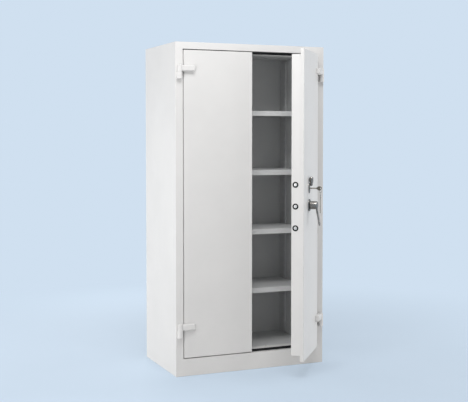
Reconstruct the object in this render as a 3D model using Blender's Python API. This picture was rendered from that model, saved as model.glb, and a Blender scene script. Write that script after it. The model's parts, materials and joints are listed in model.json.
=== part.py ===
"""Fire-resistant file cabinet with two insulated doors, in metres, +Z up.

The front faces -Y and the origin is the middle of the base. Every piece is modelled with both doors
closed. At the end the right door, with all that it carries, is turned open about its hinge pins.
"""

import math
from collections import namedtuple

import bmesh
import bpy
from mathutils import Matrix, Vector

MM = 0.001

# Cabinet body
WIDTH = 950 * MM
DEPTH = 550 * MM
HEIGHT = 1920 * MM
SHEET = 2 * MM
LINER_SHEET = 1.5 * MM
SEAM = 0.3 * MM  # gap between pieces that touch
EDGE_RADIUS = 3 * MM
BACK_FILL = 50 * MM

# Front frame: visible widths of its faces, then the stop and seal that the doors close on
JAMB = 45 * MM
HEAD = 40 * MM
PLINTH = 100 * MM
STOP = 18 * MM
STOP_RETURN = 50 * MM
LINER_STEP = 11 * MM  # liner walls behind the edge of the stop
SEAL_WIDTH = 16 * MM
SEAL_THICKNESS = 1.4 * MM
SEAL_MARGIN = 0.8 * MM
SEAL_GAP = 0.3 * MM  # between the seal and a closed door

# Doors
DOOR_GAP = 5 * MM
MEETING_X = 5 * MM  # meeting line of the doors, right of the middle
MEETING_GAP = 4 * MM
DOOR_PLATE = 20 * MM  # depth of the outer pan
DOOR_THICKNESS = 76 * MM
BLOCK_SETBACK = 30 * MM  # inner pan behind the edge of the outer pan
MEETING_SETBACK = 18 * MM
ASTRAGAL = 8 * MM  # overlap of the left inner pan behind the right door
LINER_LIP = 12 * MM
FILL_GAP = 2 * MM  # between the insulation and the bolt bushes
OPEN_ANGLE = math.radians(51.3)

# Hinges
KNUCKLE_RADIUS = 14 * MM
KNUCKLE_STANDOFF = 2 * MM  # from the front of the cabinet
KNUCKLE_FROM_DOOR = 14.5 * MM
KNUCKLE_HEIGHT = 40 * MM
KNUCKLE_CHAMFER = 2 * MM
KNUCKLE_GAP = 0.5 * MM
LOWER_HINGE = 121.5 * MM  # above the foot of the door
UPPER_HINGE = 166 * MM  # below the top of the door
ARM_LIFT = 2 * MM  # arm above the foot of its knuckle
ARM_DEPTH = 24 * MM
ARM_ON_DOOR = 64 * MM
ARM_CHAMFER = 6 * MM
PIN_RADIUS = 6 * MM
PIN_CLEARANCE = 0.4 * MM
BORE_END = 4 * MM  # metal left at the blind end of each hinge bore

# Shelves, brackets and slotted rails
SHELF_FRONT = 110 * MM  # behind the front of the cabinet
SHELF_REAR_GAP = 10 * MM
SHELF_LIP = 30 * MM
SHELF_RETURN = 12 * MM
SHELF_SHEET = 1.5 * MM
SHELF_SIDE_GAP = 0.5 * MM
SHELF_COUNT = 4
SLOT_PITCH = 51 * MM
SLOT_START = 26.7 * MM  # first slot above the inside floor
SLOT_WIDTH = 4.2 * MM
SLOT_HEIGHT = 16 * MM
RAIL_WIDTH = 30 * MM
RAIL_DEPTH = 9 * MM
RAIL_SHEET = 1.2 * MM
RAIL_END = 15 * MM
FRONT_RAIL = 165 * MM  # behind the front of the cabinet
REAR_RAIL = 81.5 * MM  # in front of the back wall
BRACKET_DROP = 8 * MM  # bracket foot below its slot
BRACKET_HEIGHT = 27 * MM
BRACKET_REACH = 14 * MM
BRACKET_SHEET = 2 * MM
BRACKET_OVERHANG = 20 * MM
HOOK_WIDTH = 3 * MM
HOOK_HEIGHT = 11 * MM
HOOK_DROP = 4 * MM
HOOK_THICKNESS = 2 * MM

# Handle, on the right door
HANDLE_FROM_EDGE = 149.5 * MM  # from the lock edge of the door
HANDLE_DROP = 3.5 * MM  # below the middle of the door
ROSE_RADIUS = 36 * MM
ROSE_THICKNESS = 6 * MM
ROSE_CHAMFER = 3 * MM
HUB_RADIUS = 23 * MM
HUB_LENGTH = 50 * MM
HUB_ROUND = 4 * MM
SPINDLE_RADIUS = 7 * MM
HUB_CAP = 20 * MM  # solid end of the hub past the spindle
HANDLE_TURN = math.radians(90)
LEVER_ROUND = 0.9  # corner radius as a share of half the thickness
# Lever sections: height from the axis, width, thickness, distance of the middle past the hub's end
LEVER_SECTIONS = (
    (17 * MM, 16 * MM, 5 * MM, -5 * MM),
    (13 * MM, 24 * MM, 8 * MM, -5 * MM),
    (0 * MM, 29 * MM, 9.5 * MM, -4.5 * MM),
    (-30 * MM, 25 * MM, 9 * MM, -3 * MM),
    (-70 * MM, 21 * MM, 8.5 * MM, 4.5 * MM),
    (-108 * MM, 19 * MM, 8 * MM, 11 * MM),
    (-116 * MM, 15 * MM, 6.5 * MM, 12.3 * MM),
    (-119 * MM, 9 * MM, 3.5 * MM, 12.8 * MM),
)

# Boltwork, in layers from the inner face of the right door outwards: tongue, rods, crank
BOLT_BEHIND_MIDDLE = 4.2 * MM  # from the middle of the inner pan
BOLT_RADIUS = 10 * MM
BOLT_CHAMFER = 1.5 * MM
BOLT_SPACING = 123 * MM
BOLT_TRAVEL = 30 * MM
BOLT_SPIGOT_RADIUS = 5 * MM
BOLT_SPIGOT = 7 * MM
BUSH_WALL = 3 * MM
BUSH_RIM = 4 * MM
BUSH_FLANGE = 2 * MM
BUSH_LENGTH = 14 * MM
STRIKE_CLEARANCE = 1.5 * MM
STRIKE_THICKNESS = 2 * MM
STRIKE_MARGIN = 2.5 * MM
STRIKE_END = 25 * MM
STRIKE_POCKET = 5 * MM  # past the thrown bolt
BAR_THICKNESS = 12 * MM
BAR_MARGIN = 2 * MM  # past the bolts and the tongue
BAR_END = 22 * MM
BAR_FROM_ROD = 12.5 * MM  # drawn-back bar to the lower rod
BOLTWORK_GAP = 6.5 * MM  # behind the boltwork
LAYER_GAP = 1 * MM
TONGUE_THICKNESS = 3 * MM
TONGUE_WALL = 8.5 * MM
ROD_THICKNESS = 3 * MM
ROD_WIDTH = 14 * MM
ROD_FROM_PIN = 3.3 * MM
ROD_TRAVEL = 30 * MM
ROD_END_RADIUS = 6 * MM
ROD_END_LENGTH = 75 * MM
ROD_FLAT_LENGTH = 50 * MM  # round end past the flat bar
ROD_RECESS = 0.5 * MM
ROD_HOLE_CLEARANCE = 0.6 * MM
YOKE_WALL = 5 * MM
CRANK_RIM = 2.8 * MM
CRANK_THICKNESS = 6 * MM
CRANK_HUB_WALL = 5 * MM
BOLT_PIN_RADIUS = 4 * MM
ROD_PIN_RADIUS = 3.5 * MM
PIN_PAST_SLOT = 0.5 * MM
SLIDE_CLEARANCE = 0.4 * MM
KEEPER_CLEARANCE = 2 * MM
KEEPER_SPARE = 8 * MM  # past the thrown rod

# Lock, key and keyhole cover
KEY_ABOVE_HANDLE = 97.5 * MM
KEY_RADIUS = 4 * MM
KEY_REACH = 74 * MM  # in front of the door
BOW_LENGTH = 28 * MM
BOW_HALF_HEIGHT = 12.5 * MM
BOW_THICKNESS = 3 * MM
BOW_HOLE_RADIUS = 4 * MM
BOW_HOLE_FROM_END = 7.2 * MM
SHAFT_IN_BOW = 6 * MM
BIT_LENGTH = 9 * MM
BIT_HALF_HEIGHT = 10.5 * MM
BIT_THICKNESS = 2.8 * MM
BIT_CLEARANCE = 2.5 * MM
BIT_FRONT_GAP = 1.4 * MM  # between the bit and the insulation
KEY_CLEARANCE = 0.5 * MM
KEY_END_GAP = 1 * MM
KEY_TUBE_RADIUS = 9 * MM
CASE_WALL = 11 * MM
CASE_RIGHT = 20 * MM
CASE_BELOW = 30 * MM
CASE_ABOVE = 35 * MM
CASE_BACK_WALL = 1 * MM
CHAMBER_WALL = 2 * MM
LOCK_BOLT_RIGHT = -9 * MM  # from the handle axis
LOCK_BOLT_THICKNESS = 8 * MM
LOCK_BOLT_LENGTH = 40 * MM
LUG_CLEARANCE = 2.5 * MM
LUG_WIDTH = 10 * MM
LUG_ROOT = 4 * MM
LUG_BELOW_CASE = 8 * MM
PLATE_HALF_WIDTH = 18 * MM
PLATE_HALF_HEIGHT = 29 * MM
PLATE_THICKNESS = 3 * MM
PLATE_CHAMFER = 1.2 * MM
COVER_PIVOT = 18 * MM  # above the keyhole
COVER_AXIS = 13.7 * MM  # in front of the door
COVER_LENGTH = 52 * MM
COVER_RADIUS = 12.5 * MM
COVER_NECK_RADIUS = 7.5 * MM
STUD_RADIUS = 2.5 * MM
STUD_COLLAR_RADIUS = 4 * MM
STUD_HEAD_RADIUS = 4.5 * MM
STUD_CROWN_RADIUS = 3.2 * MM
STUD_HEAD = 1.6 * MM

# Flush bolts, in the left door
FLUSH_FROM_EDGE = 40 * MM
FLUSH_FROM_INNER = 14 * MM
FLUSH_RADIUS = 6 * MM
FLUSH_LENGTH = 130 * MM
FLUSH_TRAVEL = 30 * MM
KNOB_RADIUS = 7 * MM
KNOB_FROM_END = 90 * MM
KNOB_REACH = 14 * MM  # past the inner face of the door
CHANNEL_HALF_WIDTH = 9 * MM

ROUND_SIDES = 24
SMALL_SIDES = 16
CRANK_SIDES = 26  # keeps the crank's corners off the lines of its pins
SMOOTH_UNDER = math.radians(35)  # faces that meet at less are shaded as one
AXIS_MARK = 40 * MM  # drawn size of the empties

Rect = namedtuple("Rect", "left right low high")
Finish = namedtuple("Finish", "name colour roughness metallic")

PAINT = Finish("painted_light_grey", (0.78, 0.78, 0.76), 0.42, 0.0)
INNER_PAINT = Finish("painted_inner_grey", (0.70, 0.71, 0.71), 0.48, 0.0)
CHROME = Finish("bright_chrome", (0.82, 0.82, 0.83), 0.12, 1.0)
STEEL = Finish("bright_steel", (0.62, 0.62, 0.63), 0.3, 1.0)
DARK = Finish("dark_bush", (0.05, 0.05, 0.055), 0.5, 0.0)
RUBBER = Finish("black_seal", (0.025, 0.025, 0.028), 0.7, 0.0)
FILL = Finish("cast_insulation", (0.72, 0.69, 0.62), 0.9, 0.0)

# Derived set-out
FRONT = -DEPTH / 2
REBATE = DOOR_PLATE + SEAL_GAP + SEAL_THICKNESS + SEAM
BACK = DEPTH / 2
STOP_Y = FRONT + REBATE
LINER_FRONT = STOP_Y + STOP_RETURN + SEAM
LINER_BACK = BACK - SHEET - BACK_FILL - LINER_SHEET
OUTER = Rect(-WIDTH / 2, WIDTH / 2, 0, HEIGHT)
OPENING = Rect(-WIDTH / 2 + JAMB, WIDTH / 2 - JAMB, PLINTH, HEIGHT - HEAD)
DOOR_EDGE = OPENING.right - DOOR_GAP
DOOR_LOW = OPENING.low + DOOR_GAP
DOOR_HIGH = OPENING.high - DOOR_GAP
PIVOT_X = DOOR_EDGE + KNUCKLE_FROM_DOOR + KNUCKLE_RADIUS
PIVOT_Y = FRONT - KNUCKLE_STANDOFF - KNUCKLE_RADIUS
HANDLE_X = MEETING_X + MEETING_GAP / 2 + HANDLE_FROM_EDGE
HANDLE_HEIGHT = (DOOR_LOW + DOOR_HIGH) / 2 - HANDLE_DROP
SPINDLE_IN_HUB = HUB_LENGTH - HUB_CAP
KEY_HEIGHT = HANDLE_HEIGHT + KEY_ABOVE_HANDLE
BOLT_DEPTH = (DOOR_PLATE + DOOR_THICKNESS) / 2 + BOLT_BEHIND_MIDDLE
BUSH_RADIUS = BOLT_RADIUS + BUSH_WALL
RIGHT_FILL = BOLT_DEPTH - BOLT_BEHIND_MIDDLE - BUSH_RADIUS - FILL_GAP  # depth of the insulation
BOLT_PIN_THROW = BOLT_TRAVEL / 2 / math.sin(HANDLE_TURN / 2)
ROD_PIN_THROW = ROD_TRAVEL / 2 / math.sin(HANDLE_TURN / 2)
TONGUE_BACK = DOOR_THICKNESS - LINER_SHEET - BOLTWORK_GAP
TONGUE_FRONT = TONGUE_BACK - TONGUE_THICKNESS
ROD_BACK = TONGUE_FRONT - LAYER_GAP
ROD_FRONT = ROD_BACK - ROD_THICKNESS
ROD_MIDDLE = (ROD_FRONT + ROD_BACK) / 2
ROD_NEAR = ROD_PIN_THROW + ROD_PIN_RADIUS + ROD_FROM_PIN
ROD_SIDE = ROD_NEAR + ROD_WIDTH / 2
BOLT_FACE_X = MEETING_X + MEETING_GAP / 2 + MEETING_SETBACK - SEAM - BUSH_FLANGE
BAR_X = HANDLE_X - ROD_NEAR - ROD_WIDTH - BAR_FROM_ROD - BAR_THICKNESS
BOLT_LENGTH = BAR_X - SEAM - BOLT_FACE_X
CRANK_BACK = ROD_FRONT - LAYER_GAP
CRANK_FRONT = CRANK_BACK - CRANK_THICKNESS
CRANK_RADIUS = CRANK_RIM + max(BOLT_PIN_THROW + BOLT_PIN_RADIUS, ROD_PIN_THROW + ROD_PIN_RADIUS)
FLUSH_DEPTH = DOOR_THICKNESS - FLUSH_FROM_INNER
BIT_DEPTH = BIT_FRONT_GAP + BIT_LENGTH + SEAM
CASE_THICKNESS = BIT_DEPTH + KEY_END_GAP + CHAMBER_WALL + LOCK_BOLT_THICKNESS + CASE_BACK_WALL
CASE_BACK = RIGHT_FILL + SEAM + CASE_THICKNESS
CASE_LOW = KEY_HEIGHT - CASE_BELOW
LOCK_BOLT_BACK = CASE_BACK - CASE_BACK_WALL
LOCK_BOLT_FRONT = LOCK_BOLT_BACK - LOCK_BOLT_THICKNESS
LOCK_BOLT_WIDTH = BOLT_TRAVEL - LUG_WIDTH - 2 * LUG_CLEARANCE
CHAMBER_BACK = LOCK_BOLT_FRONT - CHAMBER_WALL
KEY_END = CHAMBER_BACK - KEY_END_GAP
ALONG_X = Vector((1, 0, 0))
ALONG_Y = Vector((0, 1, 0))
ALONG_Z = Vector((0, 0, 1))

carrier_points = {}


def clear_scene():
    for thing in list(bpy.data.objects):
        bpy.data.objects.remove(thing, do_unlink=True)


def grown(rect, by):
    return Rect(rect.left - by, rect.right + by, rect.low - by, rect.high + by)


MOUTH = grown(OPENING, -STOP)  # clear way in past the stop
INSIDE = grown(MOUTH, LINER_STEP)


def upright(rect, y):
    """Loop of a rectangle that faces the front."""
    return [
        Vector((rect.left, y, rect.low)),
        Vector((rect.right, y, rect.low)),
        Vector((rect.right, y, rect.high)),
        Vector((rect.left, y, rect.high)),
    ]


def level(rect, z):
    """Loop of a rectangle in plan: low is its front, high its back."""
    return [
        Vector((rect.left, rect.low, z)),
        Vector((rect.right, rect.low, z)),
        Vector((rect.right, rect.high, z)),
        Vector((rect.left, rect.high, z)),
    ]


def circle(centre, axis, radius, sides):
    across = axis.orthogonal().normalized()
    over = axis.cross(across)
    loop = []
    for step in range(sides):
        angle = 2 * math.pi * step / sides
        loop.append(centre + radius * (math.cos(angle) * across + math.sin(angle) * over))
    return loop


def rounded_rectangle(centre, width, thickness, per_corner=3):
    """Loop in plan with its corners rounded by nearly half the thickness."""
    radius = thickness / 2 * LEVER_ROUND
    loop = []
    for corner, (side, way) in enumerate(((1, 1), (-1, 1), (-1, -1), (1, -1))):
        middle = centre + Vector((side * (width / 2 - radius), way * (thickness / 2 - radius), 0))
        for step in range(per_corner):
            angle = math.pi / 2 * (corner + step / (per_corner - 1))
            loop.append(middle + radius * Vector((math.cos(angle), math.sin(angle), 0)))
    return loop


def loft(loops, ring=False):
    """Closed mesh through loops of equal length. A ring joins its ends; otherwise both are capped."""
    shape = bmesh.new()
    rows = [[shape.verts.new(point) for point in loop] for loop in loops]
    pairs = list(zip(rows, rows[1:]))
    if ring:
        pairs.append((rows[-1], rows[0]))
    else:
        shape.faces.new(rows[0])
        shape.faces.new(rows[-1])
    for first, second in pairs:
        for here in range(len(first)):
            there = (here + 1) % len(first)
            shape.faces.new((first[here], first[there], second[there], second[here]))
    bmesh.ops.recalc_face_normals(shape, faces=shape.faces)
    return finished_mesh(shape)


def finished_mesh(shape):
    mesh = bpy.data.meshes.new("shape")
    shape.to_mesh(mesh)
    shape.free()
    return mesh


def box(x_ends, y_ends, z_ends):
    rect = Rect(x_ends[0], x_ends[1], z_ends[0], z_ends[1])
    return loft([upright(rect, y_ends[0]), upright(rect, y_ends[1])])


def together(meshes):
    """One mesh of several that stand apart, so that one step cuts or joins them all."""
    shape = bmesh.new()
    for mesh in meshes:
        shape.from_mesh(mesh)
        bpy.data.meshes.remove(mesh)
    return finished_mesh(shape)


def turned(start, axis, profile, sides=ROUND_SIDES, ring=False):
    """Turned solid: the profile holds (distance along the axis, radius)."""
    return loft([circle(start + axis * far, axis, radius, sides) for far, radius in profile], ring)


def cylinder(start, axis, length, radius, sides=ROUND_SIDES):
    return turned(start, axis, ((0, radius), (length, radius)), sides)


def rounded_edges(mesh, chosen, radius=EDGE_RADIUS, segments=2):
    """The same mesh with the chosen edges rounded; chosen takes the two ends of an edge."""
    shape = bmesh.new()
    shape.from_mesh(mesh)
    edges = [edge for edge in shape.edges if chosen(edge.verts[0].co, edge.verts[1].co)]
    bmesh.ops.bevel(
        shape, geom=edges, offset=radius, segments=segments, profile=0.5, affect="EDGES"
    )
    shape.to_mesh(mesh)
    shape.free()
    return mesh


def on_rim(rect, y):
    """Picks the edges of an upright rectangle at one depth, and the corner edges that leave it."""
    near = 0.01 * MM

    def on_corner(point):
        at_side = min(abs(point.x - rect.left), abs(point.x - rect.right)) < near
        at_end = min(abs(point.z - rect.low), abs(point.z - rect.high)) < near
        return at_side and at_end

    def chosen(first, second):
        both = on_corner(first) and on_corner(second)
        return both and min(abs(first.y - y), abs(second.y - y)) < near

    return chosen


def material(finish):
    found = bpy.data.materials.get(finish.name)
    if found:
        return found
    made = bpy.data.materials.new(finish.name)
    made.use_nodes = True
    shader = made.node_tree.nodes["Principled BSDF"]
    shader.inputs["Base Color"].default_value = (*finish.colour, 1)
    shader.inputs["Roughness"].default_value = finish.roughness
    shader.inputs["Metallic"].default_value = finish.metallic
    return made


def smooth(mesh):
    mesh.shade_smooth()
    mesh.set_sharp_from_angle(angle=SMOOTH_UNDER)


def attach(thing, carrier):
    """Lets a carrier move the thing without shifting it from where it was modelled."""
    if carrier:
        thing.parent = carrier
        thing.matrix_parent_inverse = Matrix.Translation(-carrier_points[carrier.name])


def axis_at(name, point, carrier=None):
    """Empty on a joint's axis, which carries the pieces of one moving body."""
    empty = bpy.data.objects.new(name, None)
    empty.empty_display_size = AXIS_MARK
    empty.location = point
    bpy.context.scene.collection.objects.link(empty)
    attach(empty, carrier)
    carrier_points[name] = Vector(point)
    return empty


def piece(name, mesh, finish, carrier=None):
    made = bpy.data.objects.new(name, mesh)
    mesh.name = name
    mesh.materials.append(material(finish))
    smooth(mesh)
    bpy.context.scene.collection.objects.link(made)
    attach(made, carrier)
    return made


def combine(target, mesh, operation):
    smooth(mesh)
    helper = bpy.data.objects.new("helper", mesh)
    bpy.context.scene.collection.objects.link(helper)
    helper.hide_render = True
    helper.display_type = "WIRE"
    helper.parent = target.parent
    helper.matrix_parent_inverse = target.matrix_parent_inverse
    modifier = target.modifiers.new(operation.lower(), "BOOLEAN")
    modifier.operation = operation
    modifier.solver = "EXACT"
    modifier.object = helper


def cut(target, mesh):
    combine(target, mesh, "DIFFERENCE")


def join(target, mesh):
    combine(target, mesh, "UNION")


def build_body():
    lip = grown(MOUTH, SHEET)
    outer_skin = grown(OUTER, -SHEET)
    frame_back = grown(OPENING, SHEET)
    shell = loft(
        [
            upright(OUTER, BACK),
            upright(OUTER, FRONT),
            upright(OPENING, FRONT),
            upright(OPENING, STOP_Y),
            upright(MOUTH, STOP_Y),
            upright(MOUTH, STOP_Y + STOP_RETURN),
            upright(lip, STOP_Y + STOP_RETURN),
            upright(lip, STOP_Y + SHEET),
            upright(frame_back, STOP_Y + SHEET),
            upright(frame_back, FRONT + SHEET),
            upright(outer_skin, FRONT + SHEET),
            upright(outer_skin, BACK),
        ],
        ring=True,
    )
    shell = piece("outer_shell", rounded_edges(shell, on_rim(OUTER, FRONT)), PAINT)

    panel = grown(outer_skin, -SEAM)
    piece("back_panel", loft([upright(panel, BACK - SHEET), upright(panel, BACK)]), PAINT)

    liner_outer = grown(INSIDE, LINER_SHEET)
    liner = loft(
        [
            upright(liner_outer, LINER_BACK + LINER_SHEET),
            upright(liner_outer, LINER_FRONT),
            upright(MOUTH, LINER_FRONT),
            upright(MOUTH, LINER_FRONT + LINER_SHEET),
            upright(INSIDE, LINER_FRONT + LINER_SHEET),
            upright(INSIDE, LINER_BACK),
        ]
    )
    piece("inner_liner", liner, INNER_PAINT)

    fill_outer = grown(outer_skin, -SEAM)
    fill_frame = grown(frame_back, SEAM)
    fill_lip = grown(lip, SEAM)
    fill_liner = grown(liner_outer, SEAM)
    fill = piece(
        "body_insulation",
        loft(
            [
                upright(fill_outer, BACK - SHEET - SEAM),
                upright(fill_outer, FRONT + SHEET + SEAM),
                upright(fill_frame, FRONT + SHEET + SEAM),
                upright(fill_frame, STOP_Y + SHEET + SEAM),
                upright(fill_lip, STOP_Y + SHEET + SEAM),
                upright(fill_lip, LINER_FRONT - SEAM),
                upright(fill_liner, LINER_FRONT - SEAM),
                upright(fill_liner, LINER_BACK + LINER_SHEET + SEAM),
            ]
        ),
        FILL,
    )
    flush_x = MEETING_X - MEETING_GAP / 2 - FLUSH_FROM_EDGE
    keepers = (
        (flush_x, FLUSH_DEPTH, MOUTH.high, 1),
        (flush_x, FLUSH_DEPTH, MOUTH.low, -1),
        (HANDLE_X + ROD_SIDE, ROD_MIDDLE, MOUTH.high, 1),
        (HANDLE_X - ROD_SIDE, ROD_MIDDLE, MOUTH.low, -1),
    )
    to_lip = BLOCK_SETBACK + DOOR_GAP - STOP
    depth_in = max(ROD_TRAVEL, FLUSH_TRAVEL) - to_lip + KEEPER_SPARE + SHEET
    radius = max(ROD_END_RADIUS, FLUSH_RADIUS) + KEEPER_CLEARANCE
    for target, hole in ((shell, radius), (fill, radius + SEAM)):
        holes = []
        for x, depth, z, way in keepers:
            start = Vector((x, FRONT + depth, z - way * SHEET))
            holes.append(cylinder(start, way * ALONG_Z, depth_in, hole, SMALL_SIDES))
        cut(target, together(holes))

    seal_outer = grown(OPENING, -SEAL_MARGIN)
    seal_inner = grown(seal_outer, -SEAL_WIDTH)
    seal_back = STOP_Y - SEAM
    seal_front = seal_back - SEAL_THICKNESS
    seal = loft(
        [
            upright(seal_outer, seal_front),
            upright(seal_inner, seal_front),
            upright(seal_inner, seal_back),
            upright(seal_outer, seal_back),
        ],
        ring=True,
    )
    piece("frame_seal", seal, RUBBER)


def slot_foot(index):
    return INSIDE.low + SLOT_START + index * SLOT_PITCH


def shelf_slots():
    """Slots of the shelves, which share the inside height evenly."""
    step = round((INSIDE.high - INSIDE.low) / (SHELF_COUNT + 1) / SLOT_PITCH)
    return [step * number - 1 for number in range(1, SHELF_COUNT + 1)]


def shelf_bottom(slot):
    return slot_foot(slot) - BRACKET_DROP + BRACKET_SHEET + SEAM


def build_rail(name, side, middle_y):
    """U-shaped rail with its open side against the liner; side is -1 on the left and 1 on the right."""
    wall = side * (INSIDE.right - SEAM)
    web = wall - side * RAIL_DEPTH
    behind = web + side * RAIL_SHEET
    near = middle_y - RAIL_WIDTH / 2
    far = middle_y + RAIL_WIDTH / 2
    outline = (
        (wall, near),
        (web, near),
        (web, far),
        (wall, far),
        (wall, far - RAIL_SHEET),
        (behind, far - RAIL_SHEET),
        (behind, near + RAIL_SHEET),
        (wall, near + RAIL_SHEET),
    )
    ends = (INSIDE.low + RAIL_END, INSIDE.high - RAIL_END)
    rail = piece(name, loft([[Vector((x, y, z)) for x, y in outline] for z in ends]), INNER_PAINT)
    through = sorted((web - side * RAIL_SHEET, behind + side * RAIL_SHEET))
    across = (middle_y - SLOT_WIDTH / 2, middle_y + SLOT_WIDTH / 2)
    count = int((ends[1] - SLOT_HEIGHT - slot_foot(0)) / SLOT_PITCH)
    feet = [slot_foot(index) for index in range(count)]
    cut(rail, together([box(through, across, (foot, foot + SLOT_HEIGHT)) for foot in feet]))


def build_bracket(name, side, slot, rail_middles):
    """Angle under one end of a shelf, hooked into the slots of the front and rear rails."""
    web = side * (INSIDE.right - SEAM - RAIL_DEPTH)
    face = web - side * SEAM
    foot = slot_foot(slot)
    bottom = foot - BRACKET_DROP
    inner = face - side * BRACKET_SHEET
    reach = face - side * BRACKET_REACH
    outline = (
        (face, bottom),
        (face, bottom + BRACKET_HEIGHT),
        (inner, bottom + BRACKET_HEIGHT),
        (inner, bottom + BRACKET_SHEET),
        (reach, bottom + BRACKET_SHEET),
        (reach, bottom),
    )
    ends = (rail_middles[0] - BRACKET_OVERHANG, rail_middles[1] + BRACKET_OVERHANG)
    angle = loft([[Vector((x, y, z)) for x, z in outline] for y in ends])
    bracket = piece(name, angle, INNER_PAINT)
    behind = web + side * (RAIL_SHEET + SEAM)
    tip = behind + side * HOOK_THICKNESS
    root = face - side * BRACKET_SHEET / 2
    low = foot + SEAM
    hook = ((root, low), (root, low + HOOK_HEIGHT), (tip, low + HOOK_HEIGHT), (tip, foot - HOOK_DROP))
    hook += ((behind, foot - HOOK_DROP), (behind, low))
    hooks = []
    for middle in rail_middles:
        ends = (middle - HOOK_WIDTH / 2, middle + HOOK_WIDTH / 2)
        hooks.append(loft([[Vector((x, y, z)) for x, z in hook] for y in ends]))
    join(bracket, together(hooks))


def build_shelf(name, slot):
    half = INSIDE.right - SEAM - RAIL_DEPTH - SEAM - BRACKET_SHEET - SHELF_SIDE_GAP
    plan = Rect(-half, half, FRONT + SHELF_FRONT, LINER_BACK - SHELF_REAR_GAP)
    bottom = shelf_bottom(slot)
    top = bottom + SHELF_LIP
    shelf = loft(
        [
            level(plan, top),
            level(plan, bottom),
            level(grown(plan, -SHELF_RETURN), bottom),
            level(grown(plan, -SHELF_RETURN), bottom + SHELF_SHEET),
            level(grown(plan, -SHELF_SHEET), bottom + SHELF_SHEET),
            level(grown(plan, -SHELF_SHEET), top - SHELF_SHEET),
        ]
    )
    piece(name, shelf, INNER_PAINT)


def build_interior():
    rail_middles = (FRONT + FRONT_RAIL, LINER_BACK - REAR_RAIL)
    for side_name, side in (("left", -1), ("right", 1)):
        for place, middle in zip(("front", "rear"), rail_middles):
            build_rail(f"rail_{place}_{side_name}", side, middle)
        for number, slot in enumerate(shelf_slots(), 1):
            build_bracket(f"bracket_{number}_{side_name}", side, slot, rail_middles)
    for number, slot in enumerate(shelf_slots(), 1):
        build_shelf(f"shelf_{number}", slot)


def knuckle_outline(x, radius, z):
    """Round-fronted block from the hinge axis back to the frame."""
    loop = []
    for step in range(SMALL_SIDES // 2 + 1):
        angle = math.pi + math.pi * step / (SMALL_SIDES // 2)
        loop.append(Vector((x + radius * math.cos(angle), PIVOT_Y + radius * math.sin(angle), z)))
    loop.append(Vector((x + radius, FRONT - SEAM, z)))
    loop.append(Vector((x - radius, FRONT - SEAM, z)))
    return loop


def build_hinge(name, side, low, carrier):
    """Base on the frame, arm on the door and the pin between them."""
    x = side * PIVOT_X
    parting = low + KNUCKLE_HEIGHT
    top = parting + KNUCKLE_GAP + KNUCKLE_HEIGHT
    small = KNUCKLE_RADIUS - KNUCKLE_CHAMFER
    block = loft(
        [
            knuckle_outline(x, small, low),
            knuckle_outline(x, KNUCKLE_RADIUS, low + KNUCKLE_CHAMFER),
            knuckle_outline(x, KNUCKLE_RADIUS, parting),
        ]
    )
    base = piece(f"hinge_base_{name}", block, PAINT)

    knuckle = turned(
        Vector((x, PIVOT_Y, parting + KNUCKLE_GAP)),
        ALONG_Z,
        (
            (0, KNUCKLE_RADIUS),
            (KNUCKLE_HEIGHT - KNUCKLE_CHAMFER, KNUCKLE_RADIUS),
            (KNUCKLE_HEIGHT, small),
        ),
        SMALL_SIDES,
    )
    arm = piece(f"hinge_arm_{name}", knuckle, PAINT, carrier)
    arm_top = top - KNUCKLE_CHAMFER
    arm_low = parting + KNUCKLE_GAP + ARM_LIFT
    rear = FRONT - SEAM
    face = FRONT - ARM_DEPTH
    bevelled = face + ARM_CHAMFER
    section = (
        (rear, arm_low),
        (rear, arm_top),
        (bevelled, arm_top),
        (face, arm_top - ARM_CHAMFER),
        (face, arm_low + ARM_CHAMFER),
        (bevelled, arm_low),
    )
    blunt = (
        (rear, arm_low + ARM_CHAMFER),
        (rear, arm_top - ARM_CHAMFER),
        (bevelled, arm_top - ARM_CHAMFER),
        (bevelled, arm_top - 2 * ARM_CHAMFER),
        (bevelled, arm_low + 2 * ARM_CHAMFER),
        (bevelled, arm_low + ARM_CHAMFER),
    )
    end = side * (DOOR_EDGE - ARM_ON_DOOR)
    stations = ((x, section), (end + side * ARM_CHAMFER, section), (end, blunt))
    join(arm, loft([[Vector((at, y, z)) for y, z in outline] for at, outline in stations]))

    bore = PIN_RADIUS + PIN_CLEARANCE
    foot = Vector((x, PIVOT_Y, low + BORE_END))
    bore_length = top - BORE_END - foot.z
    for target in (base, arm):
        cut(target, cylinder(foot, ALONG_Z, bore_length, bore, SMALL_SIDES))
    pin_start = foot + SEAM * ALONG_Z
    pin = cylinder(pin_start, ALONG_Z, bore_length - 2 * SEAM, PIN_RADIUS, SMALL_SIDES)
    piece(f"hinge_pin_{name}", pin, STEEL)


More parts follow.
